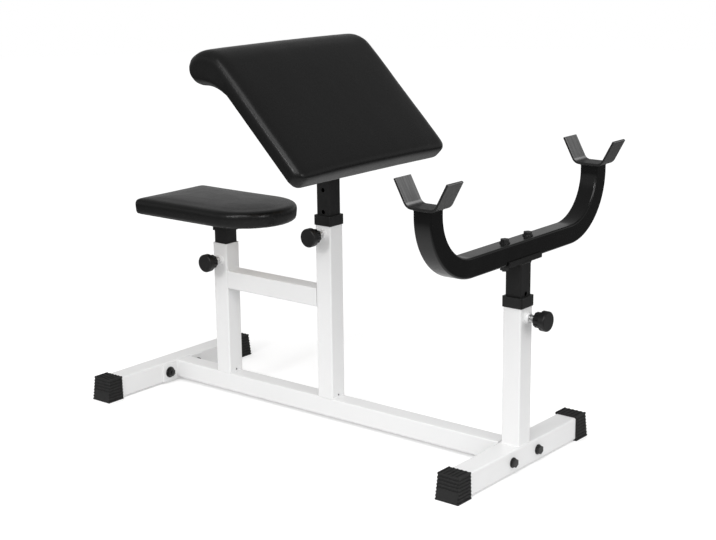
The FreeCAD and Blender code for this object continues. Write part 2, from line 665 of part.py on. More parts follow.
seat_places = screw_places("seat_plate_length", "seat_plate_width")
pad = solid("SeatPad", seat_pad_shape())
pocket = solid("SeatPocket", seat_board_shape(number("soft_clearance")))
keep("seat_pad", place(cut(pad, pocket), "seat_x", "0", "seat_z"))
board = cut(solid("SeatBoard", seat_board_shape(0)), *screw_holes(seat_places, "0", "screw_grip"))
keep("seat_board", place(board, "seat_x", "0", "seat_z"))
plate = block("seat_plate_length", "seat_plate_width", "seat_plate_thick", z="-seat_plate_thick")
plate = cut(plate, *screw_holes(seat_places, "-seat_plate_thick", "seat_plate_thick"))
keep("seat_plate", place(plate, "seat_x", "0", "seat_z"))
screws = pad_screws(seat_places, "seat_plate_thick")
keep("seat_screws", place(screws, "seat_x", "0", "seat_z"))
socket_bore = "inner_tube + 2 * slide_clearance"
socket = bar([("socket_size", "collar_corner"), (socket_bore, "guide_corner")], "socket_height")
keep("seat_socket", place(socket, "seat_x", "0", "seat_z - seat_plate_thick - socket_height"))
keep("seat_post", sliding_post(LOCKS["seat"], "(seat_z - seat_plate_thick)"))


# Arm pad: local frame with x down the slope and z square to it, origin on the post's axis
def arm_profile(inset, crown, draw, y):
    """Closed outline of the arm pad, drawn in by an inset, in the plane of one y."""
    top = number("arm_pad_thick") + crown - inset
    foot = inset * number("arm_pad_foot_edge") / number("arm_pad_edge")
    end = number("arm_pad_down") - draw - inset
    edge = number("arm_pad_edge")
    low_edge = number("arm_pad_foot_edge")
    roll_x = -number("roll_up")
    roll_z = -number("roll_drop")
    roll = number("roll_radius") - inset
    lead = roll_x + number("roll_lead")
    rise = top - roll_z
    run = lead - roll_x
    over = (run ** 2 + rise ** 2 - roll ** 2) / (2 * (rise - roll))
    over_z = top - over
    hollow = number("roll_hollow") + inset
    hollow_z = foot - hollow
    hollow_x = roll_x + math.sqrt((hollow + roll) ** 2 - (hollow_z - roll_z) ** 2)
    over_angle = math.atan2(roll_z - over_z, roll_x - lead)
    hollow_angle = math.atan2(roll_z - hollow_z, roll_x - hollow_x)

    def spot(x, z):
        return Vector(x, y, z)

    def arc(x, z, radius, start, finish):
        places = [start, (start + finish) / 2, finish]
        return Part.Arc(*[spot(x + radius * math.cos(a), z + radius * math.sin(a)) for a in places])

    quarter = math.pi / 2
    full = 2 * math.pi
    curves = [
        Part.LineSegment(spot(hollow_x, foot), spot(end - low_edge, foot)),
        arc(end - low_edge, foot + low_edge, low_edge, -quarter, 0),
        Part.LineSegment(spot(end, foot + low_edge), spot(end, top - edge)),
        arc(end - edge, top - edge, edge, 0, quarter),
        Part.LineSegment(spot(end - edge, top), spot(lead, top)),
        arc(lead, over_z, over, quarter, over_angle),
        arc(roll_x, roll_z, roll, over_angle, hollow_angle - math.pi + full),
        arc(hollow_x, hollow_z, hollow, hollow_angle, quarter),
    ]
    return Part.Wire([curve.toShape() for curve in curves])


def arm_pad_shape():
    """Loft across the bench, crowned in the middle and rounded off at both ends."""
    half = number("arm_pad_width") / 2
    edge = number("arm_pad_edge")
    stations = []
    for share in CROWN_SHARES:
        bulge = 1 - share ** 2
        stations.append((share * (half - edge), 0, number("arm_pad_crown") * bulge,
                         number("arm_pad_draw") * bulge))
    for angle in EDGE_ANGLES:
        turn = math.radians(angle)
        drawn = END_SHARE * edge * (1 - math.cos(turn))
        stations.append((half - edge + edge * math.sin(turn), drawn, 0, 0))
    mirrored = [(-y, inset, crown, draw) for y, inset, crown, draw in reversed(stations[1:])]
    sections = [arm_profile(inset, crown, draw, y) for y, inset, crown, draw in mirrored + stations]
    return Part.makeLoft(sections, True, True)


def arm_board_block(spare):
    start = "(roll_hollow - roll_up)"
    end = "(arm_pad_down - arm_pad_draw - board_inset)"
    width = f"arm_pad_width - 2 * arm_pad_edge - 2 * board_inset + 2 * {spare}"
    return block(f"{end} - {start} + 2 * {spare}", width, f"board_thick + {spare}", f"({start} + {end}) / 2")


ON_SLOPE = Rotation(Vector(0, 1, 0), number("arm_slope"))
arm_places = screw_places("arm_plate_length", "arm_plate_width")
pad = cut(solid("ArmPad", arm_pad_shape()), arm_board_block("soft_clearance"))
keep("arm_pad", place(pad, "arm_x", "0", "arm_z", ON_SLOPE))
board = cut(arm_board_block("0"), *screw_holes(arm_places, "0", "screw_grip"))
keep("arm_board", place(board, "arm_x", "0", "arm_z", ON_SLOPE))
plate = block("arm_plate_length", "arm_plate_width", "arm_plate_thick", z="-arm_plate_thick")
plate = cut(plate, *screw_holes(arm_places, "-arm_plate_thick", "arm_plate_thick"))
keep("arm_plate", place(plate, "arm_x", "0", "arm_z", ON_SLOPE))
screws = pad_screws(arm_places, "arm_plate_thick")
keep("arm_screws", place(screws, "arm_x", "0", "arm_z", ON_SLOPE))
mitre = block("4 * inner_tube", "4 * inner_tube", "4 * inner_tube", z="-arm_plate_thick")
mitre_place = group(mitre)
place(mitre_place, "arm_x", "0", "arm_z", ON_SLOPE)
keep("arm_post", cut(sliding_post(LOCKS["arm"], "(arm_z + inner_tube)"), mitre_place))


# Bar rest: lipped plate on the post, bent U tube, bolts through both, a strap cradle on each leg
def rest_path():
    """Centre line of the U from one leg's top to the other's."""
    x = number("rest_x")
    half = number("rest_half_span")
    low = number("rest_tube_z + rest_tube / 2")
    top = number("rest_top_z")
    bend = number("rest_bend")
    diagonal = bend * (1 - math.sqrt(0.5))

    def spot(y, z):
        return Vector(x, y, z)
    curves = [
        Part.LineSegment(spot(-half, top), spot(-half, low + bend)),
        Part.Arc(spot(-half, low + bend), spot(diagonal - half, low + diagonal), spot(bend - half, low)),
        Part.LineSegment(spot(bend - half, low), spot(half - bend, low)),
        Part.Arc(spot(half - bend, low), spot(half - diagonal, low + diagonal), spot(half, low + bend)),
        Part.LineSegment(spot(half, low + bend), spot(half, top)),
    ]
    return Part.Wire([curve.toShape() for curve in curves])


def swept(path, width, corner):
    section = doc.addObject("Sketcher::SketchObject", "Section")
    rounded_rectangle(section, width, corner)
    place(section, "rest_x", "-rest_half_span", "rest_top_z")
    run = doc.addObject("Part::Sweep", "Bend")
    run.Sections = [section]
    run.Spine = (path, [f"Edge{index + 1}" for index in range(len(path.Shape.Edges))])
    run.Solid = True
    run.Frenet = False
    return run


rest_bolt_places = [f"{side} * rest_bolt_spread / 2" for side in (-1, 1)]


def rest_holes(start, length):
    return [rod("bolt_hole / 2", length, "rest_x", y, start) for y in rest_bolt_places]


path = solid("RestPath", rest_path())
hollow = cut(swept(path, "rest_tube", "rest_corner"),
             swept(path, "rest_tube - 2 * rest_wall", "rest_corner - rest_wall"))
keep("rest_u_tube", cut(hollow, *rest_holes("rest_tube_z - overrun", "rest_tube + 2 * overrun")))
plate = block("rest_plate_width", "rest_plate_length", "rest_plate_thick + rest_lip",
              "rest_x", "0", "rest_plate_z")
channel = block("rest_channel", "rest_plate_length + 2 * overrun", "rest_lip + overrun",
                "rest_x", "0", "rest_tube_z")
keep("rest_plate", cut(plate, channel, *rest_holes("rest_plate_z", "rest_plate_thick")))
keep("rest_post", sliding_post(LOCKS["rest"], "(rest_plate_z)"))

bolts = []
washers = []
nuts = []
head_z = "rest_tube_z + rest_tube + washer_thick"
nut_z = "rest_plate_z - washer_thick - nut_height"
for y in rest_bolt_places:
    head = hexagon("bolt_head_flats", "bolt_head_height", "rest_x", y, head_z)
    shank_length = f"{head_z} - ({nut_z}) + thread_proud"
    shank = rod("bolt_size / 2", shank_length, "rest_x", y, f"{nut_z} - thread_proud")
    bolts.append(fuse(head, shank))
    for start in ("rest_tube_z + rest_tube", "rest_plate_z - washer_thick"):
        disc = rod("washer_radius", "washer_thick", "rest_x", y, start)
        washers.append(cut(disc, rod("bolt_hole / 2", "washer_thick", "rest_x", y, start)))
    nut = hexagon("bolt_head_flats", "nut_height", "rest_x", y, nut_z)
    nuts.append(cut(nut, rod("bolt_size / 2 + thread_clearance", "nut_height", "rest_x", y, nut_z)))
keep("rest_bolts", group(*bolts))
keep("rest_washers", group(*washers))
keep("rest_nuts", group(*nuts))


def cradle_shape():
    """Strap bent up at both sides of its flat base, about the middle of the base's underside."""
    thick = number("cradle_thick")
    inner = number("cradle_bend")
    outer = inner + thick
    angle = math.radians(number("cradle_angle"))
    setback = outer * math.tan(angle / 2)
    bend_x = number("cradle_base") / 2 - setback
    straight = number("cradle_arm") - setback
    half = number("cradle_width") / 2
    along = Vector(math.cos(angle), 0, math.sin(angle))

    def on_bend(radius, turn):
        return Vector(bend_x + radius * math.sin(turn), -half, outer - radius * math.cos(turn))

    def flip(point):
        return Vector(-point.x, point.y, point.z)
    outside = [on_bend(outer, 0), on_bend(outer, angle / 2), on_bend(outer, angle)]
    inside = [on_bend(inner, angle), on_bend(inner, angle / 2), on_bend(inner, 0)]
    outer_tip = outside[2] + along * straight
    inner_tip = inside[0] + along * straight
    right = [Part.Arc(*outside),
             Part.LineSegment(outside[2], outer_tip),
             Part.LineSegment(outer_tip, inner_tip),
             Part.LineSegment(inner_tip, inside[0]),
             Part.Arc(*inside)]
    left = [Part.Arc(*[flip(p) for p in reversed(inside)]),
            Part.LineSegment(flip(inside[0]), flip(inner_tip)),
            Part.LineSegment(flip(inner_tip), flip(outer_tip)),
            Part.LineSegment(flip(outer_tip), flip(outside[2])),
            Part.Arc(*[flip(p) for p in reversed(outside)])]
    curves = right + [Part.LineSegment(inside[2], flip(inside[2]))] + left
    curves.append(Part.LineSegment(flip(outside[0]), outside[0]))
    face = Part.Face(Part.Wire([curve.toShape() for curve in curves]))
    return face.extrude(Vector(0, 2 * half, 0))


for side, sign in (("left", -1), ("right", 1)):
    cradle = solid("Cradle", cradle_shape())
    keep(f"{side}_bar_cradle", place(cradle, "rest_x", f"{sign} * rest_half_span", "rest_top_z"))

doc.recompute()
faults = [item.Label for item in doc.Objects if "Invalid" in item.State or "Error" in item.State]
faults += [item.Label for item in nodes if item.Shape.isNull() or not item.Shape.isValid()]
if faults:
    raise RuntimeError("these objects failed: " + ", ".join(faults))

os.makedirs("parts", exist_ok=True)
for item in nodes:
    item.Shape.exportStep(f"parts/{item.Label}.step")
print(len(nodes), "sub-parts,", sum(len(item.Shape.Solids) for item in nodes), "solids")
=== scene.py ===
import math

import bmesh
import bpy
from mathutils import Matrix, Vector, noise


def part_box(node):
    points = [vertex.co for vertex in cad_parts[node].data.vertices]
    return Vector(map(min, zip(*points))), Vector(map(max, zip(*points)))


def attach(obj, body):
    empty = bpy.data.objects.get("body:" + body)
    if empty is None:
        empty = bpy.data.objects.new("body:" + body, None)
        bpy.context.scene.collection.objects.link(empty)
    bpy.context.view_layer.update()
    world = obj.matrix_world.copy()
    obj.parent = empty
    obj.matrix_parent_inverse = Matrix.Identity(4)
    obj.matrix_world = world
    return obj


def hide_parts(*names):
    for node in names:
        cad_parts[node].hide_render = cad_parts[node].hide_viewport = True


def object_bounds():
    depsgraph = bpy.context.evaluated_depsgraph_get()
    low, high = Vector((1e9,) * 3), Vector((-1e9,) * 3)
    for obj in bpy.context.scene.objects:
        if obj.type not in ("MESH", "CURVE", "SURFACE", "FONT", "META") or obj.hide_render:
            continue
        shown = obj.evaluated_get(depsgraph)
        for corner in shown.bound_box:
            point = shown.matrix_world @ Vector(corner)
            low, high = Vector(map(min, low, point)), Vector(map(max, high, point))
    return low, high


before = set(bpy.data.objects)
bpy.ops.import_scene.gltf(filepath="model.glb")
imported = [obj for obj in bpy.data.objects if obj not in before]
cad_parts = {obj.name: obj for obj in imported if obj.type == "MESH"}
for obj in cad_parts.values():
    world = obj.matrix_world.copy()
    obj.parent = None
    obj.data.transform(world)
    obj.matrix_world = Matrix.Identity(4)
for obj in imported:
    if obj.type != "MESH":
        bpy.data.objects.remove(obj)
cad_low, cad_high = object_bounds()

MM = 0.001
AXIS_X = Vector((1.0, 0.0, 0.0))
AXIS_Y = Vector((0.0, 1.0, 0.0))
AXIS_Z = Vector((0.0, 0.0, 1.0))

# Camera of the photograph: place in metres, angles in degrees, lens and sensor in millimetres
CAMERA_PLACE = Vector((2.06195, -2.4666, 1.1515))
CAMERA_YAW = 38.956
CAMERA_PITCH = -13.933
CAMERA_ROLL = -0.629
CAMERA_LENS = 73.57
SENSOR_WIDTH = 36.0

# Sizes that the dressed pieces share with the frame
ARM_SLOPE = math.radians(45)
ARM_PLATE_THICK = 4 * MM
BOARD_THICK = 12 * MM
ARM_BOARD_START = -82 * MM
TUBE_CORNER = 4 * MM
REST_BEND = 120 * MM

# Rounded edges of plates, cradles and collars
PLATE_EDGE = 0.8 * MM
PLATE_EDGE_STEPS = 2
PLATE_MERGE = 0.01 * MM
FLAT_ANGLE = math.radians(1)
SHARP_ANGLE = math.radians(40)

# Steps round a tube's corner and along a bend of the bar rest
CORNER_STEPS = 6
BEND_STEPS = 40

# Weld beads
BEAD_RADIUS = 2.2 * MM
BEAD_RIPPLE_SHARE = 0.18
BEAD_PITCH = 3.2 * MM
BEAD_STEP = 0.8 * MM
BEAD_SIDES = 8
NUT_WELD_POINTS = 36

# Thread of the lock screws
THREAD_PITCH = 1.5 * MM
THREAD_DEPTH = 0.9 * MM
THREAD_STEPS = 6
THREAD_SIDES = 28
THREAD_STEEPNESS = 2.4

# Mesh of the pads: voxels, merged vertices and rounds of smoothing
SEAT_VOXEL = 4 * MM
ARM_VOXEL = 5 * MM
PAD_MERGE = 0.05 * MM
VOXEL_ROUNDS = 1
SWELL_ROUNDS = 30
SKIN_ROUNDS = 2
UPPER_ROUNDS = 5

# Cloth that swells the pads, and how far it may go
CLOTH_QUALITY = 6
CLOTH_MASS = 0.4
CLOTH_STRETCH = 200.0
CLOTH_SHEAR = 100.0
CLOTH_BENDING = 40.0
CLOTH_PRESSURE = 4.0
CLOTH_FRAMES = 20
SWELL_CAP = 5 * MM

# Form of the pads: skin pushed out, bulge of the arm pad's rims, waves and filling of the foam
FILL_OUT = 2 * MM
ARM_BULGE = 5 * MM
FOAM_WAVE = 0.15 * MM
FOAM_WAVE_LENGTH = 55 * MM
FOAM_RIPPLE_LENGTH = 22 * MM
FOAM_RIPPLE_SHARE = 0.5

# Where the skin of the pads comes free: above the board, past the board at the roll, at the lower end
FREE_ABOVE_BOARD = 14 * MM
ROLL_HELD = 6 * MM
ROLL_FREE = 30 * MM
LOWER_END_HELD = 5 * MM
LOWER_END_FREE = 1 * MM

# Cover folded round the boards
HEM_WIDTH = 14 * MM
HEM_THICK = 1.2 * MM
HEM_STEP = 5 * MM
HEM_WAVE = 2 * MM
HEM_WAVE_LENGTH = 30 * MM
PUCKER_LENGTH = 9 * MM
PUCKER_SHARE = 0.35
OUTLINE_DIGITS = 6

# Staples that hold the cover; the tilt is in radians
STAPLE_WIDTH = 11 * MM
STAPLE_RADIUS = 0.6 * MM
STAPLE_GAP = 38 * MM
STAPLE_SIDES = 6
STAPLE_TILT = 0.35
STAPLE_TILT_LENGTH = 17 * MM
STAPLE_PLACE_SHARE = 0.55

# Floor: sizes in metres, its greys, and how much of it glows for straight and reflected views
FLOOR_RADIUS = 9.0
FLOOR_SIDES = 96
FLOOR_DROP = 0.2 * MM
FLOOR_NEAR = 0.7
FLOOR_FAR = 1.8
FLOOR_NEAR_GREY = 0.75
FLOOR_FAR_GREY = 0.08
FLOOR_NEAR_GLOW = 0.38
FLOOR_REFLECTED_SHARE = 0.04

# Studio: how steeply one looks up where the ceiling starts and is full, its strength and the fill light
CEILING_START = 0.25
CEILING_FULL = 0.40
CEILING_STRENGTH = 0.55
STUDIO_REFLECTED_SHARE = 0.46
STUDIO_FILL = 0.78


# Materials: rays sent out and limits for edges, painted shade in grooves, and clouds
EDGE_SAMPLES = 6
FLAT_COSINE = 0.995
EDGE_COSINE = 0.75
GROOVE_SAMPLES = 8
GROOVE_OPEN_SHARE = 0.7
FACE_OPEN_SHARE = 0.98
CLOUD_LOW = 0.3
CLOUD_HIGH = 0.7


class Finish:
    """A material under construction: its Principled shader and short ways to add nodes to it."""

    def __init__(self, name, **constants):
        self.material = bpy.data.materials.new(name)
        self.material.use_nodes = True
        self.tree = self.material.node_tree
        self.shader = self.tree.nodes["Principled BSDF"]
        self.place = self.add("ShaderNodeTexCoord").outputs["Object"]
        for socket, value in constants.items():
            self.shader.inputs[socket.replace("_", " ")].default_value = value

    def add(self, kind, inputs=None, **settings):
        """Add a node; inputs gives each socket a number, a colour or another node's output."""
        node = self.tree.nodes.new(kind)
        for name, value in settings.items():
            setattr(node, name, value)
        for socket, value in (inputs or {}).items():
            if isinstance(value, bpy.types.NodeSocket):
                self.tree.links.new(value, node.inputs[socket])
            else:
                node.inputs[socket].default_value = value
        return node

    def noise(self, scale, detail=3.0, roughness=0.5, place=None):
        """Cloudy value from 0 to 1, with about one cloud for each metre divided by the scale."""
        inputs = {"Vector": place or self.place, "Scale": scale, "Detail": detail, "Roughness": roughness}
        return self.add("ShaderNodeTexNoise", inputs).outputs["Fac"]

    def range(self, value, low, high, to_low=0.0, to_high=1.0):
        """Spread a value from one range to another, and keep it inside."""
        inputs = {"Value": value, "From Min": low, "From Max": high, "To Min": to_low, "To Max": to_high}
        return self.add("ShaderNodeMapRange", inputs).outputs["Result"]

    def drift(self, scale, detail, least, most):
        """Cloudy value between two limits."""
        return self.range(self.noise(scale, detail), CLOUD_LOW, CLOUD_HIGH, least, most)

    def math(self, operation, first, second=0.0):
        """Combine two values."""
        return self.add("ShaderNodeMath", {0: first, 1: second}, operation=operation).outputs["Value"]

    def mix(self, share, first, second):
        """Blend two colours."""
        inputs = {"Factor": share, 6: first, 7: second}
        return self.add("ShaderNodeMix", inputs, data_type="RGBA").outputs[2]

    def rounded(self, radius):
        """Normal that rounds the edges to a radius."""
        return self.add("ShaderNodeBevel", {"Radius": radius}, samples=EDGE_SAMPLES).outputs["Normal"]

    def edges(self, radius):
        """Share from 0 on flat surfaces to 1 on edges sharper than a radius."""
        true_normal = self.add("ShaderNodeNewGeometry").outputs["Normal"]
        normals = {0: self.rounded(radius), 1: true_normal}
        alike = self.add("ShaderNodeVectorMath", normals, operation="DOT_PRODUCT")
        return self.range(alike.outputs["Value"], FLAT_COSINE, EDGE_COSINE)

    def wear(self, radius, scale, low, high, detail=4.0):
        """Share from 0 on flat surfaces to 1 on edges, broken up by scuffs."""
        scuffs = self.range(self.noise(scale, detail), low, high)
        return self.math("MULTIPLY", self.edges(radius), scuffs)

    def groove_shade_share(self, reach):
        """Share from 0 deep in grooves to 1 on open surfaces, from ambient occlusion, as a mask for painted
        shade in grooves.
        """
        inputs = {"Distance": reach}
        node = self.add("ShaderNodeAmbientOcclusion", inputs, samples=GROOVE_SAMPLES, only_local=True)
        return self.range(node.outputs["AO"], GROOVE_OPEN_SHARE, FACE_OPEN_SHARE)

    def finish(self, colour, roughness, heights, edge_radius=0.0):
        """Tie the shader to its colour, its roughness and bumps given as height and depth pairs."""
        links = self.tree.links
        links.new(colour, self.shader.inputs["Base Color"])
        links.new(roughness, self.shader.inputs["Roughness"])
        normal = None
        if edge_radius:
            normal = self.rounded(edge_radius)
        for height, depth in heights:
            bump = self.add("ShaderNodeBump", {"Height": height, "Distance": depth, "Strength": 1.0})
            if normal:
                links.new(normal, bump.inputs["Normal"])
            normal = bump.outputs["Normal"]
        links.new(normal, self.shader.inputs["Normal"])
        return self.material


def grey(value, warmth=0.0):
    """Opaque grey, with a little red added and blue taken away for warmth."""
    return (value * (1 + warmth), value, value * (1 - warmth), 1.0)


# Powder coats
PAINT_EDGE = 0.7 * MM
PAINT_WEAR_RADIUS = 0.9 * MM
PAINT_WEAR_SHARE = 0.5
PAINT_SMOOTHER = 0.05
PAINT_ROUGHER = 0.06
WHITE_PEEL = 0.02 * MM
BLACK_PEEL = 0.03 * MM
GLOSS_PEEL = 0.005 * MM
FINE_PEEL_SHARE = 0.25


def painted(name, pale, dark, worn, roughness, peel, shine, edge=PAINT_EDGE):
    """Powder coat: cloudy colour, worn edges, uneven gloss and a fine orange peel."""
    coat = Finish(name, Specular_IOR_Level=shine)
    colour = coat.mix(coat.noise(scale=9.0, detail=4.0), dark, pale)
    wear = coat.wear(PAINT_WEAR_RADIUS, scale=160.0, low=0.45, high=0.7, detail=5.0)
    colour = coat.mix(coat.math("MULTIPLY", wear, PAINT_WEAR_SHARE), colour, worn)
    least = roughness - PAINT_SMOOTHER
    most = roughness + PAINT_ROUGHER
    uneven = coat.drift(scale=30.0, detail=5.0, least=least, most=most)
    heights = [(coat.noise(scale=420.0, detail=2.0), peel),
               (coat.noise(scale=1900.0, detail=1.0), FINE_PEEL_SHARE * peel)]
    return coat.finish(colour, uneven, heights, edge)


# Vinyl of the pads
VINYL_SHINE = 0.27
VINYL_GROOVE = grey(0.005)
VINYL_DARK = grey(0.0065)
VINYL_PALE = grey(0.0095)
VINYL_GROOVE_ROUGHER = 0.06
VINYL_CELL_SHIFT = 1.2 * MM
VINYL_GRAIN_DEPTH = 0.018 * MM
VINYL_PORE_DEPTH = 0.007 * MM
VINYL_DENT_DEPTH = 0.08 * MM


def vinyl():
    """Black upholstery vinyl: leather grain of small cells, with soft changes in gloss."""
    cover = Finish("pad_vinyl", Specular_IOR_Level=VINYL_SHINE)
    bend_highlight = cover.add("ShaderNodeTexNoise", {"Vector": cover.place, "Scale": 260.0, "Detail": 2.0})
    amount = {0: bend_highlight.outputs["Color"], 1: (VINYL_CELL_SHIFT,) * 3}
    spread = cover.add("ShaderNodeVectorMath", amount, operation="MULTIPLY")
    place = cover.add("ShaderNodeVectorMath", {0: cover.place, 1: spread.outputs[0]}).outputs[0]
    layout = {"Vector": place, "Scale": 620.0, "Randomness": 0.9}
    cells = cover.add("ShaderNodeTexVoronoi", layout, feature="DISTANCE_TO_EDGE")
    grain = cover.range(cells.outputs["Distance"], low=0.0, high=0.22)
    pale = cover.mix(cover.noise(scale=7.0, detail=4.0), VINYL_DARK, VINYL_PALE)
    colour = cover.mix(grain, VINYL_GROOVE, pale)
    smooth = cover.drift(scale=22.0, detail=4.0, least=0.25, most=0.29)
    groove = cover.range(grain, low=0.0, high=1.0, to_low=VINYL_GROOVE_ROUGHER, to_high=0.0)
    roughness = cover.math("ADD", smooth, groove)
    heights = [(grain, VINYL_GRAIN_DEPTH),
               (cover.noise(scale=2600.0, detail=2.0), VINYL_PORE_DEPTH),
               (cover.noise(scale=45.0, detail=2.0), VINYL_DENT_DEPTH)]
    return cover.finish(colour, roughness, heights)


# Rubber of the foot caps
RUBBER_SHINE = 0.16
RUBBER_DARK = grey(0.015)
RUBBER_PALE = grey(0.026)
# Painted shade in the grooves; edges dusty and painted lighter as a highlight
RUBBER_GROOVE_SHADE = grey(0.002)
RUBBER_DUST_AND_HIGHLIGHT = grey(0.1, 0.02)
RUBBER_DUST_AND_HIGHLIGHT_SHARE = 0.8
RUBBER_DUST_AND_HIGHLIGHT_RADIUS = 0.8 * MM
RUBBER_SHADE_REACH = 5 * MM
RUBBER_EDGE = 0.5 * MM
RUBBER_GRAIN_DEPTH = 0.05 * MM
RUBBER_DENT_DEPTH = 0.06 * MM


def rubber():
    """Black moulded rubber: dull, with painted shade in its grooves, dusty and with a painted highlight on
    its edges.
    """
    sole = Finish("cap_rubber", Specular_IOR_Level=RUBBER_SHINE)
    colour = sole.mix(sole.noise(scale=60.0, detail=5.0), RUBBER_DARK, RUBBER_PALE)
    # Painted shade: the colour goes darker deep in the grooves between the ribs
    colour = sole.mix(sole.groove_shade_share(RUBBER_SHADE_REACH), RUBBER_GROOVE_SHADE, colour)
    # Rib edges dusty and painted lighter, a painted highlight on the crests
    dust_and_highlight = sole.wear(RUBBER_DUST_AND_HIGHLIGHT_RADIUS, scale=210.0, low=0.35, high=0.75)
    colour = sole.mix(sole.math("MULTIPLY", dust_and_highlight, RUBBER_DUST_AND_HIGHLIGHT_SHARE), colour, RUBBER_DUST_AND_HIGHLIGHT)
    roughness = sole.drift(scale=90.0, detail=5.0, least=0.56, most=0.7)
    heights = [(sole.noise(scale=1500.0, detail=3.0), RUBBER_GRAIN_DEPTH),
               (sole.noise(scale=240.0, detail=2.0), RUBBER_DENT_DEPTH)]
    return sole.finish(colour, roughness, heights, RUBBER_EDGE)


# Plastic of the knobs, collars and plugs
PLASTIC_SHINE = 0.35
PLASTIC_DARK = grey(0.0065)
PLASTIC_PALE = grey(0.0095)
PLASTIC_GROOVE_SHADE = grey(0.002)
PLASTIC_WORN = grey(0.06)
PLASTIC_WEAR_SHARE = 0.45
PLASTIC_WEAR_RADIUS = 0.7 * MM
PLASTIC_SHADE_REACH = 6 * MM
PLASTIC_EDGE = 0.5 * MM
PLASTIC_GRAIN_DEPTH = 0.035 * MM
PLASTIC_DENT_DEPTH = 0.03 * MM


def plastic():
    """Black moulded plastic with a spark eroded texture, painted shade in its flutes and grooves, and worn
    edges.
    """
    shell = Finish("moulded_plastic", Specular_IOR_Level=PLASTIC_SHINE)
    colour = shell.mix(shell.noise(scale=80.0, detail=4.0), PLASTIC_DARK, PLASTIC_PALE)
    # Painted shade: the colour goes darker deep in the knob flutes and other grooves
    colour = shell.mix(shell.groove_shade_share(PLASTIC_SHADE_REACH), PLASTIC_GROOVE_SHADE, colour)
    wear = shell.wear(PLASTIC_WEAR_RADIUS, scale=300.0, low=0.4, high=0.7)
    colour = shell.mix(shell.math("MULTIPLY", wear, PLASTIC_WEAR_SHARE), colour, PLASTIC_WORN)
    roughness = shell.drift(scale=140.0, detail=4.0, least=0.3, most=0.4)
    heights = [(shell.noise(scale=1800.0, detail=2.0), PLASTIC_GRAIN_DEPTH),
               (shell.noise(scale=500.0, detail=2.0), PLASTIC_DENT_DEPTH)]
    return shell.finish(colour, roughness, heights, PLASTIC_EDGE)


# Bare and blackened steel
STEEL_EDGE = 0.4 * MM
STEEL_WEAR_RADIUS = 0.6 * MM
STEEL_SMOOTHER = 0.06
STEEL_ROUGHER = 0.1
STEEL_SCRATCH_DEPTH = 0.02 * MM


def steel(name, dull, bright, worn, roughness):
    """Turned or blackened steel: fine scratches, stains and rubbed edges."""
    metal = Finish(name, Metallic=1.0)
    colour = metal.mix(metal.noise(scale=120.0, detail=5.0), dull, bright)
    wear = metal.wear(STEEL_WEAR_RADIUS, scale=350.0, low=0.35, high=0.7)
    colour = metal.mix(wear, colour, worn)
    least = roughness - STEEL_SMOOTHER
    most = roughness + STEEL_ROUGHER
    uneven = metal.drift(scale=260.0, detail=5.0, least=least, most=most)
    heights = [(metal.noise(scale=1400.0, detail=3.0), STEEL_SCRATCH_DEPTH)]
    return metal.finish(colour, uneven, heights, STEEL_EDGE)


# Plywood of the boards
PLYWOOD_SHINE = 0.3
PLYWOOD_DARK = grey(0.42, 0.32)
PLYWOOD_PALE = grey(0.56, 0.26)
PLYWOOD_STAIN = grey(0.33, 0.36)
PLYWOOD_STAIN_SHARE = 0.35
PLYWOOD_SQUEEZE = (6.0, 60.0, 60.0)
PLYWOOD_EDGE = 0.5 * MM
PLYWOOD_GRAIN_DEPTH = 0.12 * MM


def plywood():
    """Birch plywood: long grain on the faces, thin plies on the edges."""
    wood = Finish("board_plywood", Specular_IOR_Level=PLYWOOD_SHINE)
    squeezed = wood.add("ShaderNodeMapping", {"Vector": wood.place, "Scale": PLYWOOD_SQUEEZE})
    streaks = wood.noise(scale=4.0, detail=6.0, roughness=0.6, place=squeezed.outputs[0])
    colour = wood.mix(streaks, PLYWOOD_DARK, PLYWOOD_PALE)
    stains = wood.range(wood.noise(scale=25.0, detail=4.0), low=0.35, high=0.75)
    colour = wood.mix(wood.math("MULTIPLY", stains, PLYWOOD_STAIN_SHARE), colour, PLYWOOD_STAIN)
    roughness = wood.range(streaks, low=0.2, high=0.8, to_low=0.62, to_high=0.78)
    return wood.finish(colour, roughness, [(streaks, PLYWOOD_GRAIN_DEPTH)], PLYWOOD_EDGE)


# Strap of the bar cradles: wear, painted reflection, painted shade and a painted highlight
STRAP_SHINE = 0.3
STRAP_COAT = grey(0.012)
STRAP_DOWNWARD_SHADE = grey(0.055)
STRAP_RUBBED_AND_LIT_DARK = grey(0.085)
STRAP_RUBBED_AND_LIT_PALE = grey(0.16)
STRAP_BEND_HIGHLIGHT = grey(0.3)
STRAP_SQUEEZE = (12.0, 190.0, 12.0)
STRAP_EDGE = 0.5 * MM
STRAP_GRAIN_DEPTH = 0.02 * MM
STRAP_STREAK_DEPTH = 0.02 * MM


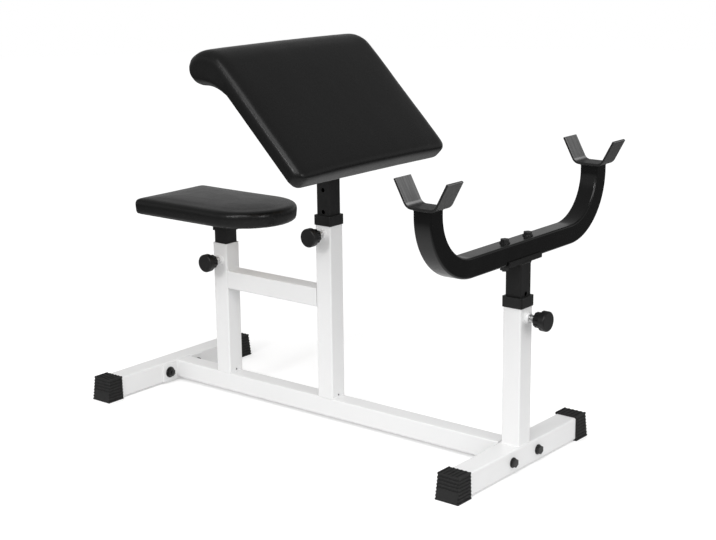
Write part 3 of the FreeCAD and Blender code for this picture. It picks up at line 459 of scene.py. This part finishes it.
def worn_and_lit_strap():
    """Dark coat, grey on the leaning faces from rubbed streaks and a painted reflection, black in between;
    upward faces painted lighter than downward ones, and a painted highlight along the bends.
    """
    strap = Finish("strap_wear_and_painted_light", Specular_IOR_Level=STRAP_SHINE)
    normal = strap.add("ShaderNodeTexCoord").outputs["Normal"]
    facing = strap.add("ShaderNodeSeparateXYZ", {0: normal}).outputs
    lean = strap.math("ABSOLUTE", facing["X"])
    # Leaning faces get the rubbed grey, partly wear and partly a painted reflection; the thin side faces
    # stay black
    rubbed = strap.range(lean, low=0.25, high=0.8)
    # Painted highlight: a pale band along the bends of the arms
    bend_highlight_start = strap.range(lean, low=0.5, high=0.6)
    bend_highlight_end = strap.range(lean, low=0.84, high=0.74)
    bend_highlight = strap.math("MULTIPLY", bend_highlight_start, bend_highlight_end)
    # Painted light: faces that look upward get the pale rubbed grey, faces that look downward a darker
    # painted shade
    inside = strap.range(facing["Z"], low=0.0, high=0.2)
    squeezed = strap.add("ShaderNodeMapping", {"Vector": strap.place, "Scale": STRAP_SQUEEZE})
    streaks = strap.noise(scale=1.0, detail=5.0, roughness=0.6, place=squeezed.outputs[0])
    spread = strap.range(streaks, CLOUD_LOW, CLOUD_HIGH)
    colour = strap.mix(spread, STRAP_RUBBED_AND_LIT_DARK, STRAP_RUBBED_AND_LIT_PALE)
    colour = strap.mix(bend_highlight, colour, STRAP_BEND_HIGHLIGHT)
    colour = strap.mix(inside, STRAP_DOWNWARD_SHADE, colour)
    colour = strap.mix(rubbed, STRAP_COAT, colour)
    roughness = strap.drift(scale=150.0, detail=4.0, least=0.36, most=0.46)
    heights = [(strap.noise(scale=900.0, detail=3.0), STRAP_GRAIN_DEPTH), (streaks, STRAP_STREAK_DEPTH)]
    return strap.finish(colour, roughness, heights, STRAP_EDGE)


FINISHES = {
    "white_paint": painted("white_powder_coat", pale=grey(0.80), dark=grey(0.775), worn=grey(0.62, 0.01),
                           roughness=0.36, peel=WHITE_PEEL, shine=0.5),
    "black_paint": painted("black_powder_coat", pale=grey(0.015), dark=grey(0.012), worn=grey(0.05),
                           roughness=0.36, peel=BLACK_PEEL, shine=0.2),
    "black_vinyl": vinyl(),
    "black_rubber": rubber(),
    "black_plastic": plastic(),
    "bright_steel": steel("zinc_steel", dull=grey(0.52), bright=grey(0.68), worn=grey(0.75),
                          roughness=0.28),
    "black_steel": steel("blackened_steel", dull=grey(0.05), bright=grey(0.08), worn=grey(0.22),
                         roughness=0.42),
    "plywood": plywood(),
}
gloss_black = painted("gloss_black_coat", pale=grey(0.0035), dark=grey(0.0028), worn=grey(0.012),
                      roughness=0.16, peel=GLOSS_PEEL, shine=0.4, edge=0.0)
strap_coat = worn_and_lit_strap()
OWN_FINISHES = {
    "rest_u_tube": gloss_black,
    "left_bar_cradle": strap_coat,
    "right_bar_cradle": strap_coat,
}

for name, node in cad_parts.items():
    for holder in node.material_slots:
        holder.material = OWN_FINISHES.get(name) or FINISHES[holder.material.name]


# Sheared steel and moulded collars have no razor edges
def soften(name, width):
    """Round the sharp edges of a node with modifiers: its vertices stay as they are."""
    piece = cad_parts[name]
    weld = piece.modifiers.new("weld", "WELD")
    weld.merge_threshold = PLATE_MERGE
    flat = piece.modifiers.new("flat", "DECIMATE")
    flat.decimate_type = "DISSOLVE"
    flat.angle_limit = FLAT_ANGLE
    edge = piece.modifiers.new("edge", "BEVEL")
    edge.width = width
    edge.segments = PLATE_EDGE_STEPS
    edge.limit_method = "ANGLE"
    edge.angle_limit = SHARP_ANGLE
    even = piece.modifiers.new("even", "WEIGHTED_NORMAL")
    even.keep_sharp = True


for name in ("left_bar_cradle", "right_bar_cradle", "rest_plate", "rear_flange_plate", "front_flange_plate",
             "seat_plate", "arm_plate", "arm_collar", "rest_collar"):
    soften(name, PLATE_EDGE)


# Small pieces in mesh code
def add_piece(name, shape, slot, body):
    """Turn a bmesh into a piece with a finish of the record that rides on a body."""
    bmesh.ops.recalc_face_normals(shape, faces=shape.faces)
    mesh = bpy.data.meshes.new(name)
    shape.to_mesh(mesh)
    shape.free()
    mesh.polygons.foreach_set("use_smooth", [True] * len(mesh.polygons))
    mesh.materials.append(FINISHES[slot])
    piece = bpy.data.objects.new(name, mesh)
    bpy.context.scene.collection.objects.link(piece)
    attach(piece, body)
    return piece


def resample(points, closed, step):
    """Points at even steps along a line of points."""
    line = points + points[:1] if closed else points
    lengths = [(end - start).length for start, end in zip(line, line[1:])]
    total = sum(lengths)
    count = max(2, round(total / step))
    result = []
    run = 0
    passed = 0.0
    for index in range(count if closed else count + 1):
        wanted = total * index / count
        while run < len(lengths) - 1 and passed + lengths[run] < wanted:
            passed += lengths[run]
            run += 1
        result.append(line[run].lerp(line[run + 1], (wanted - passed) / lengths[run]))
    return result


def add_rings(shape, rings, closed):
    """Join rings of places to a skin, with caps on the ends of an open one."""
    loops = [[shape.verts.new(place) for place in ring] for ring in rings]
    sides = len(loops[0])
    pairs = list(zip(loops, loops[1:]))
    if closed:
        pairs.append((loops[-1], loops[0]))
    else:
        shape.faces.new(loops[0])
        shape.faces.new(list(reversed(loops[-1])))
    for first, second in pairs:
        for side in range(sides):
            after = (side + 1) % sides
            shape.faces.new((first[side], second[side], second[after], first[after]))


def sweep(shape, path, up, closed, radius, sides, ripple=0.0):
    """Round wire or bead along a path; up is square to the path all the way."""
    rings = []
    passed = 0.0
    last = len(path) - 1
    for index, place in enumerate(path):
        before = path[index - 1] if index or closed else place
        after = path[(index + 1) % len(path)] if index < last or closed else place
        passed += (place - before).length
        side = (after - before).cross(up).normalized()
        size = radius * (1 - ripple * (0.5 + 0.5 * math.cos(2 * math.pi * passed / BEAD_PITCH)))
        turns = [2 * math.pi * step / sides for step in range(sides)]
        rings.append([place + (side * math.cos(turn) + up * math.sin(turn)) * size for turn in turns])
    add_rings(shape, rings, closed)


def bead(shape, points, up, closed):
    """Weld bead, half sunk in the two pieces that it joins."""
    path = resample(points, closed, BEAD_STEP)
    sweep(shape, path, up, closed, BEAD_RADIUS, BEAD_SIDES, BEAD_RIPPLE_SHARE)


def round_square(middle, first, second, half):
    """Points round a square tube with round corners; first and second point along its sides."""
    points = []
    flat = half - TUBE_CORNER
    for quarter, (across, along) in enumerate(((1, 1), (-1, 1), (-1, -1), (1, -1))):
        for step in range(CORNER_STEPS + 1):
            turn = math.pi / 2 * (quarter + step / CORNER_STEPS)
            reach = across * flat + TUBE_CORNER * math.cos(turn)
            rise = along * flat + TUBE_CORNER * math.sin(turn)
            points.append(middle + first * reach + second * rise)
    return points


def middle_of(name):
    """Middle of a node's box."""
    low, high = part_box(name)
    return (low + high) / 2


def flat_half(name):
    """Half of a tube's flat side, along the y axis."""
    low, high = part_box(name)
    return Vector((0.0, (high.y - low.y) / 2 - TUBE_CORNER, 0.0))


def tube_end(name, height):
    """Loop round an upright square tube at a height."""
    low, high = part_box(name)
    centre = (low + high) / 2
    centre.z = height
    return round_square(centre, AXIS_X, AXIS_Y, (high.y - low.y) / 2)


def frame_welds():
    """Beads of the white frame: sleeve feet, tie tube, flange plates, beam ends and lock nuts."""
    shape = bmesh.new()
    beam_low, beam_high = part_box("main_beam")
    deck = beam_high.z
    for sleeve in ("seat_sleeve", "arm_sleeve"):
        low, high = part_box(sleeve)
        half = flat_half(sleeve)
        for side in (low.x, high.x):
            foot = Vector((side, 0.0, deck))
            bead(shape, [foot - half, foot + half], AXIS_Z, False)
    bead(shape, tube_end("rest_sleeve", deck), AXIS_Z, True)
    low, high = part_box("tie_tube")
    half = flat_half("tie_tube")
    for end in (low.x, high.x):
        for height in (low.z, high.z):
            corner = Vector((end, 0.0, height))
            bead(shape, [corner - half, corner + half], AXIS_Z, False)
    half = flat_half("main_beam")
    for flange in ("rear_flange_plate", "front_flange_plate"):
        corner = middle_of(flange)
        corner.y = 0.0
        corner.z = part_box(flange)[1].z
        bead(shape, [corner - half, corner + half], AXIS_Z, False)
    for end in (beam_low.x, beam_high.x):
        for side in (beam_low.y, beam_high.y):
            start = Vector((end, side, beam_low.z + TUBE_CORNER))
            stop = Vector((end, side, beam_high.z - TUBE_CORNER))
            bead(shape, [start, stop], AXIS_X, False)
    for nut, outward in (("seat_lock_nut", -AXIS_Y), ("arm_lock_nut", -AXIS_Y), ("rest_lock_nut", AXIS_X)):
        low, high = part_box(nut)
        radius = (high.z - low.z) / 2
        foot = (low + high) / 2
        foot = foot - outward * abs((high - low).dot(outward)) / 2
        first = AXIS_Z.cross(outward)
        turns = [2 * math.pi * step / NUT_WELD_POINTS for step in range(NUT_WELD_POINTS)]
        ring = [foot + (first * math.cos(turn) + AXIS_Z * math.sin(turn)) * radius for turn in turns]
        bead(shape, ring, outward, True)
    add_piece("frame_welds", shape, "white_paint", "frame")


def rest_tube():
    """U shaped square tube with evenly round corners, in place of the faceted one."""
    low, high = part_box("rest_u_tube")
    half = (high.x - low.x) / 2
    middle = (low + high) / 2
    span = high.y - half - REST_BEND
    bend_height = low.z + half + REST_BEND
    left_top = Vector((middle.x, -span - REST_BEND, high.z))
    right_top = Vector((middle.x, span + REST_BEND, high.z))
    rings = [round_square(left_top, AXIS_X, AXIS_Y, half)]
    for side in (-1, 1):
        centre = Vector((middle.x, side * span, bend_height))
        for step in range(BEND_STEPS + 1):
            share = step / BEND_STEPS if side < 0 else 1 - step / BEND_STEPS
            turn = math.pi / 2 * share
            inward = Vector((0.0, -side * math.cos(turn), math.sin(turn)))
            rings.append(round_square(centre - inward * REST_BEND, AXIS_X, inward, half))
    rings.append(round_square(right_top, AXIS_X, -AXIS_Y, half))
    shape = bmesh.new()
    add_rings(shape, rings, False)
    for face in shape.faces:
        if len(face.verts) > 4:
            for edge in face.edges:
                edge.smooth = False
    piece = add_piece("rest_bent_tube", shape, "black_paint", "bar_rest")
    piece.data.materials[0] = gloss_black
    even = piece.modifiers.new("even", "WEIGHTED_NORMAL")
    even.keep_sharp = True
    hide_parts("rest_u_tube")


def rest_welds():
    """Beads of the bar rest: cradles on the legs and the plate on its post."""
    shape = bmesh.new()
    low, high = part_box("rest_u_tube")
    half = (high.x - low.x) / 2
    for side in (low.y + half, high.y - half):
        top = Vector((low.x + half, side, high.z))
        bead(shape, round_square(top, AXIS_X, AXIS_Y, half), AXIS_Z, True)
    bead(shape, tube_end("rest_post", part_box("rest_plate")[0].z), AXIS_Z, True)
    add_piece("rest_welds", shape, "black_paint", "bar_rest")


def seat_welds():
    """Bead round the socket under the seat plate."""
    shape = bmesh.new()
    bead(shape, tube_end("seat_socket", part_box("seat_plate")[0].z), AXIS_Z, True)
    add_piece("seat_welds", shape, "black_paint", "seat")


def arm_welds():
    """Bead round the mitred top of the arm post, on the slope of its plate."""
    shape = bmesh.new()
    low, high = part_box("arm_post")
    upward = arm_turn @ AXIS_Z
    under = arm_middle - upward * ARM_PLATE_THICK
    top = middle_of("arm_post")
    top.z = under.z - (top.x - under.x) * upward.x / upward.z
    slope = arm_turn @ AXIS_X / math.cos(ARM_SLOPE)
    bead(shape, round_square(top, slope, AXIS_Y, (high.y - low.y) / 2), upward, True)
    add_piece("arm_welds", shape, "black_paint", "arm_rest")


def lock_thread(lock):
    """Threaded screw in place of a plain rod; it turns with its knob."""
    node = lock + "_lock_screw"
    low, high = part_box(node)
    outward = AXIS_X if lock == "rest" else AXIS_Y
    side = AXIS_Z.cross(outward)
    length = (high - low).dot(outward)
    crest = (high.z - low.z) / 2
    start = (low + high) / 2 - outward * length / 2
    shape = bmesh.new()
    rings = []
    count = math.ceil(length / THREAD_PITCH * THREAD_STEPS)
    for step in range(count + 1):
        passed = length * step / count
        lead_in = crest - THREAD_DEPTH + min(passed, length - passed)
        ring = []
        for turn in range(THREAD_SIDES):
            phase = (passed / THREAD_PITCH + turn / THREAD_SIDES) % 1.0
            tooth = min(1.0, THREAD_STEEPNESS * abs(phase - 0.5))
            radius = min(lead_in, crest - THREAD_DEPTH * (1 - tooth))
            angle = 2 * math.pi * turn / THREAD_SIDES
            spoke = side * math.cos(angle) + AXIS_Z * math.sin(angle)
            ring.append(start + outward * passed + spoke * radius)
        rings.append(ring)
    add_rings(shape, rings, False)
    piece = add_piece(lock + "_screw_thread", shape, "bright_steel", lock + "_knob")
    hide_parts(node)


# Pads: foam under stretched vinyl, swollen by a cloth simulation
def copy_of_node(name, node, to_local):
    """New object with the shape of a node, in the frame of a pad."""
    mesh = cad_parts[node].data.copy()
    mesh.transform(to_local)
    piece = bpy.data.objects.new(name, mesh)
    bpy.context.scene.collection.objects.link(piece)
    return piece


def apply_modifiers(piece):
    """Turn what the modifiers make into the piece's own mesh."""
    graph = bpy.context.evaluated_depsgraph_get()
    made = bpy.data.meshes.new_from_object(piece.evaluated_get(graph))
    piece.modifiers.clear()
    piece.vertex_groups.clear()
    piece.data = made


def remesh(piece, voxel):
    """Weld the shape and give it even quads."""
    weld = piece.modifiers.new("weld", "WELD")
    weld.merge_threshold = PAD_MERGE
    quads = piece.modifiers.new("quads", "REMESH")
    quads.mode = "VOXEL"
    quads.voxel_size = voxel
    relax = piece.modifiers.new("relax", "SMOOTH")
    relax.iterations = VOXEL_ROUNDS
    apply_modifiers(piece)


def smooth_values(mesh, values, rounds):
    """Even out one value for each vertex with those of its neighbours."""
    near = [[] for _ in values]
    for edge in mesh.edges:
        first, second = edge.vertices
        near[first].append(second)
        near[second].append(first)
    for _ in range(rounds):
        values = [(value + sum(values[other] for other in others)) / (1 + len(others))
                  for value, others in zip(values, near)]
    return values


def swell(piece, free, cap):
    """Let pressure push the taut cover out, without wrinkles, and cap how far a point may go."""
    start = [vertex.co.copy() for vertex in piece.data.vertices]
    normals = [vertex.normal.copy() for vertex in piece.data.vertices]
    held = piece.vertex_groups.new(name="held")
    for index, place in enumerate(start):
        held.add([index], 1.0 - free(place), "REPLACE")
    cloth = piece.modifiers.new("cover", "CLOTH")
    settings = cloth.settings
    settings.quality = CLOTH_QUALITY
    settings.mass = CLOTH_MASS
    settings.tension_stiffness = CLOTH_STRETCH
    settings.compression_stiffness = CLOTH_STRETCH
    settings.shear_stiffness = CLOTH_SHEAR
    settings.bending_stiffness = CLOTH_BENDING
    settings.use_pressure = True
    settings.uniform_pressure_force = CLOTH_PRESSURE
    settings.vertex_group_mass = "held"
    settings.effector_weights.gravity = 0.0
    cloth.point_cache.frame_start = 1
    cloth.point_cache.frame_end = CLOTH_FRAMES
    for step in range(1, CLOTH_FRAMES + 1):
        bpy.context.scene.frame_set(step)
    apply_modifiers(piece)
    moved = [max(0.0, (vertex.co - place).dot(normal))
             for vertex, place, normal in zip(piece.data.vertices, start, normals)]
    moved = smooth_values(piece.data, moved, SWELL_ROUNDS)
    for vertex, place, normal, reach in zip(piece.data.vertices, start, normals, moved):
        vertex.co = place + normal * cap * (1 - math.exp(-reach / cap))


def fill_out(piece, free, bulge):
    """Smoothing draws a skin in, so push it out again, in low, wide waves, and bulge its rims."""
    normals = [vertex.normal.copy() for vertex in piece.data.vertices]
    for vertex, normal in zip(piece.data.vertices, normals):
        wave = noise.noise(vertex.co / FOAM_WAVE_LENGTH)
        ripple = noise.noise(vertex.co / FOAM_RIPPLE_LENGTH)
        reach = (FILL_OUT + FOAM_WAVE * (wave + FOAM_RIPPLE_SHARE * ripple)) * free(vertex.co)
        vertex.co += normal * reach
        vertex.co.x += bulge * max(normal.x, 0.0)
        vertex.co.y += bulge * normal.y * abs(normal.y)


def dress_pad(piece, free, bulge, to_world, node, body):
    """Smooth a finished pad, put it in its place, give it the vinyl, hang it on its body and hide the node
    it stands for.
    """
    soft = piece.modifiers.new("soft", "SMOOTH")
    soft.iterations = SKIN_ROUNDS
    upper = piece.vertex_groups.new(name="upper")
    for vertex in piece.data.vertices:
        upper.add([vertex.index], free(vertex.co), "REPLACE")
    rounder = piece.modifiers.new("rounder", "SMOOTH")
    rounder.iterations = UPPER_ROUNDS
    rounder.vertex_group = "upper"
    fine = piece.modifiers.new("fine", "SUBSURF")
    fine.levels = 1
    fine.render_levels = 1
    apply_modifiers(piece)
    fill_out(piece, free, bulge)
    piece.data.transform(to_world)
    piece.data.polygons.foreach_set("use_smooth", [True] * len(piece.data.polygons))
    piece.data.materials.clear()
    piece.data.materials.append(FINISHES["black_vinyl"])
    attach(piece, body)
    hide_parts(node)


def smooth_step(value, low, high):
    """Smooth step from 0 at the low value to 1 at the high one."""
    share = min(max((value - low) / (high - low), 0.0), 1.0)
    return share * share * (3 - 2 * share)


plate_low, plate_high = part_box("seat_plate")
seat_place = Matrix.Translation(((plate_low.x + plate_high.x) / 2, 0.0, plate_high.z))
arm_turn = Matrix.Rotation(ARM_SLOPE, 4, "Y")
arm_middle = middle_of("arm_plate") + arm_turn @ Vector((0.0, 0.0, ARM_PLATE_THICK / 2))
arm_place = Matrix.Translation(arm_middle) @ arm_turn
arm_end = max((arm_place.inverted() @ vertex.co).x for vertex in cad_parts["arm_pad"].data.vertices)


def seat_free(place):
    """0 round the board, 1 on the upper half of the seat."""
    return smooth_step(place.z, 0.0, BOARD_THICK + FREE_ABOVE_BOARD)


def arm_free(place):
    """0 round the board, 1 on the upper half of the arm pad, its rolled top and its lower end."""
    upper = smooth_step(place.z, 0.0, BOARD_THICK + FREE_ABOVE_BOARD)
    past_board = ARM_BOARD_START - place.x
    roll = smooth_step(past_board, ROLL_HELD, ROLL_FREE)
    lower_end = smooth_step(place.x, arm_end - LOWER_END_HELD, arm_end - LOWER_END_FREE)
    return max(upper, roll, lower_end)


for name, node, place, body, free, bulge, voxel in (
        ("seat_cushion", "seat_pad", seat_place, "seat", seat_free, 0.0, SEAT_VOXEL),
        ("arm_cushion", "arm_pad", arm_place, "arm_rest", arm_free, ARM_BULGE, ARM_VOXEL)):
    cushion = copy_of_node(name, node, place.inverted())
    remesh(cushion, voxel)
    swell(cushion, free, SWELL_CAP)
    dress_pad(cushion, free, bulge, place, node, body)


# Underside of the boards: the cover's hem and its staples
def hull(points):
    """Convex outline of flat points, in order."""
    points = sorted(points)
    halves = []
    for run in (points, points[::-1]):
        line = []
        for x, y in run:
            while len(line) > 1:
                (ax, ay), (bx, by) = line[-2:]
                if (bx - ax) * (y - ay) - (by - ay) * (x - ax) > 0:
                    break
                line.pop()
            line.append((x, y))
        halves.extend(line[:-1])
    return halves


def board_rim(board, to_local):
    """Even steps round a board's outline, each with the direction to the board's middle line."""
    places = [to_local @ vertex.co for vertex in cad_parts[board].data.vertices]
    corners = hull([(round(place.x, OUTLINE_DIGITS), round(place.y, OUTLINE_DIGITS)) for place in places])
    rim = resample([Vector((x, y, 0.0)) for x, y in corners], True, HEM_STEP)
    low_x, high_x = min(place.x for place in rim), max(place.x for place in rim)
    low_y, high_y = min(place.y for place in rim), max(place.y for place in rim)
    narrow = min(high_x - low_x, high_y - low_y) / 2
    result = []
    for place in rim:
        near = Vector((min(max(place.x, low_x + narrow), high_x - narrow),
                       min(max(place.y, low_y + narrow), high_y - narrow), 0.0))
        result.append((place, (near - place).normalized()))
    return result


def add_hem(name, rim, to_world, body):
    """Strip of cover folded under a board, wavy along its cut edge."""
    rings = []
    for place, inward in rim:
        wave = noise.noise(place / HEM_WAVE_LENGTH) * HEM_WAVE
        cut = place + inward * (HEM_WIDTH + wave)
        pucker = HEM_THICK * (1 + PUCKER_SHARE * noise.noise(place / PUCKER_LENGTH))
        down = Vector((0.0, 0.0, -pucker))
        edge = inward * HEM_THICK
        ring = [place - edge, place + down, place.lerp(cut, 0.5) + down, cut - edge + down, cut]
        rings.append([to_world @ point for point in ring])
    fold = bmesh.new()
    add_rings(fold, rings, True)
    add_piece(name + "_hem", fold, "black_vinyl", body)


def add_staples(name, rim, to_world, body):
    """Staples along a hem, each a little askew."""
    wires = bmesh.new()
    crown = Vector((0.0, 0.0, -HEM_THICK - STAPLE_RADIUS))
    apart = round(STAPLE_GAP / HEM_STEP)
    for index in range(0, len(rim), apart):
        place, inward = rim[index]
        tilt = STAPLE_TILT * noise.noise(place / STAPLE_TILT_LENGTH)
        along = Matrix.Rotation(tilt, 4, "Z") @ inward.cross(AXIS_Z)
        middle = place + inward * HEM_WIDTH * STAPLE_PLACE_SHARE
        ends = [middle - along * STAPLE_WIDTH / 2, middle + along * STAPLE_WIDTH / 2]
        path = [ends[0], ends[0] + crown, ends[1] + crown, ends[1]]
        path = [to_world @ point for point in resample(path, False, STAPLE_RADIUS)]
        up = (to_world.to_3x3() @ inward).normalized()
        sweep(wires, path, up, False, STAPLE_RADIUS, STAPLE_SIDES)
    add_piece(name + "_staples", wires, "bright_steel", body)


frame_welds()
rest_tube()
rest_welds()
seat_welds()
arm_welds()
for lock in ("seat", "arm", "rest"):
    lock_thread(lock)
for name, board, place, body in (("seat", "seat_board", seat_place, "seat"),
                                 ("arm", "arm_board", arm_place, "arm_rest")):
    rim = board_rim(board, place.inverted())
    add_hem(name, rim, place, body)
    add_staples(name, rim, place, body)


# Stage, light and camera
def seen(tree, reflected=1.0):
    """1 for rays from the camera, a strength for reflected ones, and 0 for those that light a surface."""
    path = tree.nodes.new("ShaderNodeLightPath")
    total = None
    for name, strength in (("Is Camera Ray", 1.0), ("Is Glossy Ray", reflected),
                           ("Is Transmission Ray", reflected)):
        share = tree.nodes.new("ShaderNodeMath")
        share.operation = "MULTIPLY"
        share.inputs[1].default_value = strength
        tree.links.new(path.outputs[name], share.inputs[0])
        if total:
            most = tree.nodes.new("ShaderNodeMath")
            most.operation = "MAXIMUM"
            tree.links.new(total, most.inputs[0])
            tree.links.new(share.outputs[0], most.inputs[1])
            share = most
        total = share.outputs[0]
    return total


def make_floor():
    """Round white floor, darker far out; what is seen of it is topped up to white, and the shadow stays."""
    mesh = bpy.data.meshes.new("floor")
    shape = bmesh.new()
    bmesh.ops.create_circle(shape, cap_ends=True, segments=FLOOR_SIDES, radius=FLOOR_RADIUS)
    shape.to_mesh(mesh)
    shape.free()
    floor = bpy.data.objects.new("floor", mesh)
    bpy.context.scene.collection.objects.link(floor)
    floor.location.z = cad_low.z - FLOOR_DROP
    paper = Finish("floor_white")
    tree = paper.tree
    tree.nodes.remove(paper.shader)
    reach = paper.add("ShaderNodeVectorMath", {0: paper.place}, operation="LENGTH").outputs["Value"]
    far = paper.range(reach, FLOOR_NEAR, FLOOR_FAR)
    colour = paper.mix(far, grey(FLOOR_NEAR_GREY), grey(FLOOR_FAR_GREY))
    diffuse = paper.add("ShaderNodeBsdfDiffuse", {"Color": colour})
    amount = paper.range(far, low=0.0, high=1.0, to_low=FLOOR_NEAR_GLOW, to_high=1.0)
    top_up = paper.math("MULTIPLY", seen(tree, FLOOR_REFLECTED_SHARE), amount)
    glow = paper.add("ShaderNodeEmission", {"Strength": top_up})
    both = paper.add("ShaderNodeAddShader", {0: diffuse.outputs[0], 1: glow.outputs[0]})
    tree.links.new(both.outputs[0], tree.nodes["Material Output"].inputs["Surface"])
    mesh.materials.append(paper.material)


def make_world():
    """White round the horizon and below it, a greyer ceiling, and an even fill light."""
    world = bpy.data.worlds.new("studio")
    bpy.context.scene.world = world
    world.use_nodes = True
    tree = world.node_tree
    tree.nodes.clear()
    place = tree.nodes.new("ShaderNodeTexCoord")
    split = tree.nodes.new("ShaderNodeSeparateXYZ")
    tree.links.new(place.outputs["Generated"], split.inputs[0])
    ceiling = tree.nodes.new("ShaderNodeMapRange")
    ceiling.interpolation_type = "SMOOTHSTEP"
    ceiling.inputs["From Min"].default_value = CEILING_START
    ceiling.inputs["From Max"].default_value = CEILING_FULL
    ceiling.inputs["To Min"].default_value = 1.0
    ceiling.inputs["To Max"].default_value = CEILING_STRENGTH
    tree.links.new(split.outputs["Z"], ceiling.inputs["Value"])
    shown = tree.nodes.new("ShaderNodeMath")
    shown.operation = "MULTIPLY"
    tree.links.new(ceiling.outputs["Result"], shown.inputs[0])
    tree.links.new(seen(tree, STUDIO_REFLECTED_SHARE), shown.inputs[1])
    choose = tree.nodes.new("ShaderNodeMix")
    choose.inputs[2].default_value = STUDIO_FILL
    tree.links.new(seen(tree), choose.inputs["Factor"])
    tree.links.new(shown.outputs[0], choose.inputs[3])
    light = tree.nodes.new("ShaderNodeBackground")
    light.inputs["Color"].default_value = grey(1.0)
    tree.links.new(choose.outputs[0], light.inputs["Strength"])
    out = tree.nodes.new("ShaderNodeOutputWorld")
    tree.links.new(light.outputs[0], out.inputs["Surface"])


def make_lamp(name, direction, distance, width, height, power):
    """Softbox that faces the middle of the object."""
    lamp = bpy.data.lights.new(name, "AREA")
    lamp.shape = "RECTANGLE"
    lamp.size = width
    lamp.size_y = height
    lamp.energy = power
    holder = bpy.data.objects.new(name, lamp)
    bpy.context.scene.collection.objects.link(holder)
    outward = Vector(direction).normalized()
    holder.location = (cad_low + cad_high) / 2 + outward * distance
    holder.rotation_mode = "QUATERNION"
    holder.rotation_quaternion = (-outward).to_track_quat("-Z", "Y")


def make_camera():
    """Camera of the photograph."""
    yaw = math.radians(CAMERA_YAW)
    pitch = math.radians(CAMERA_PITCH)
    roll = math.radians(CAMERA_ROLL)
    forward = Vector((-math.sin(yaw) * math.cos(pitch), math.cos(yaw) * math.cos(pitch), math.sin(pitch)))
    level = Vector((math.cos(yaw), math.sin(yaw), 0.0))
    upward = level.cross(forward)
    right = level * math.cos(roll) + upward * math.sin(roll)
    up = upward * math.cos(roll) - level * math.sin(roll)
    data = bpy.data.cameras.new("camera")
    data.lens = CAMERA_LENS
    data.sensor_width = SENSOR_WIDTH
    camera = bpy.data.objects.new("camera", data)
    bpy.context.scene.collection.objects.link(camera)
    turn = Matrix((right, up, -forward)).transposed().to_4x4()
    camera.matrix_world = Matrix.Translation(CAMERA_PLACE) @ turn
    bpy.context.scene.camera = camera


make_floor()
make_world()
make_lamp("key_lamp", direction=(0.33, -0.63, 0.70), distance=3.6, width=2.2, height=2.2, power=48.0)
make_lamp("front_lamp", direction=(0.04, -0.92, 0.39), distance=4.2, width=0.7, height=0.7, power=38.0)
make_lamp("side_lamp", direction=(0.93, -0.20, 0.30), distance=4.0, width=0.9, height=1.4, power=27.0)
make_camera()
bpy.context.scene.view_settings.view_transform = "Standard"
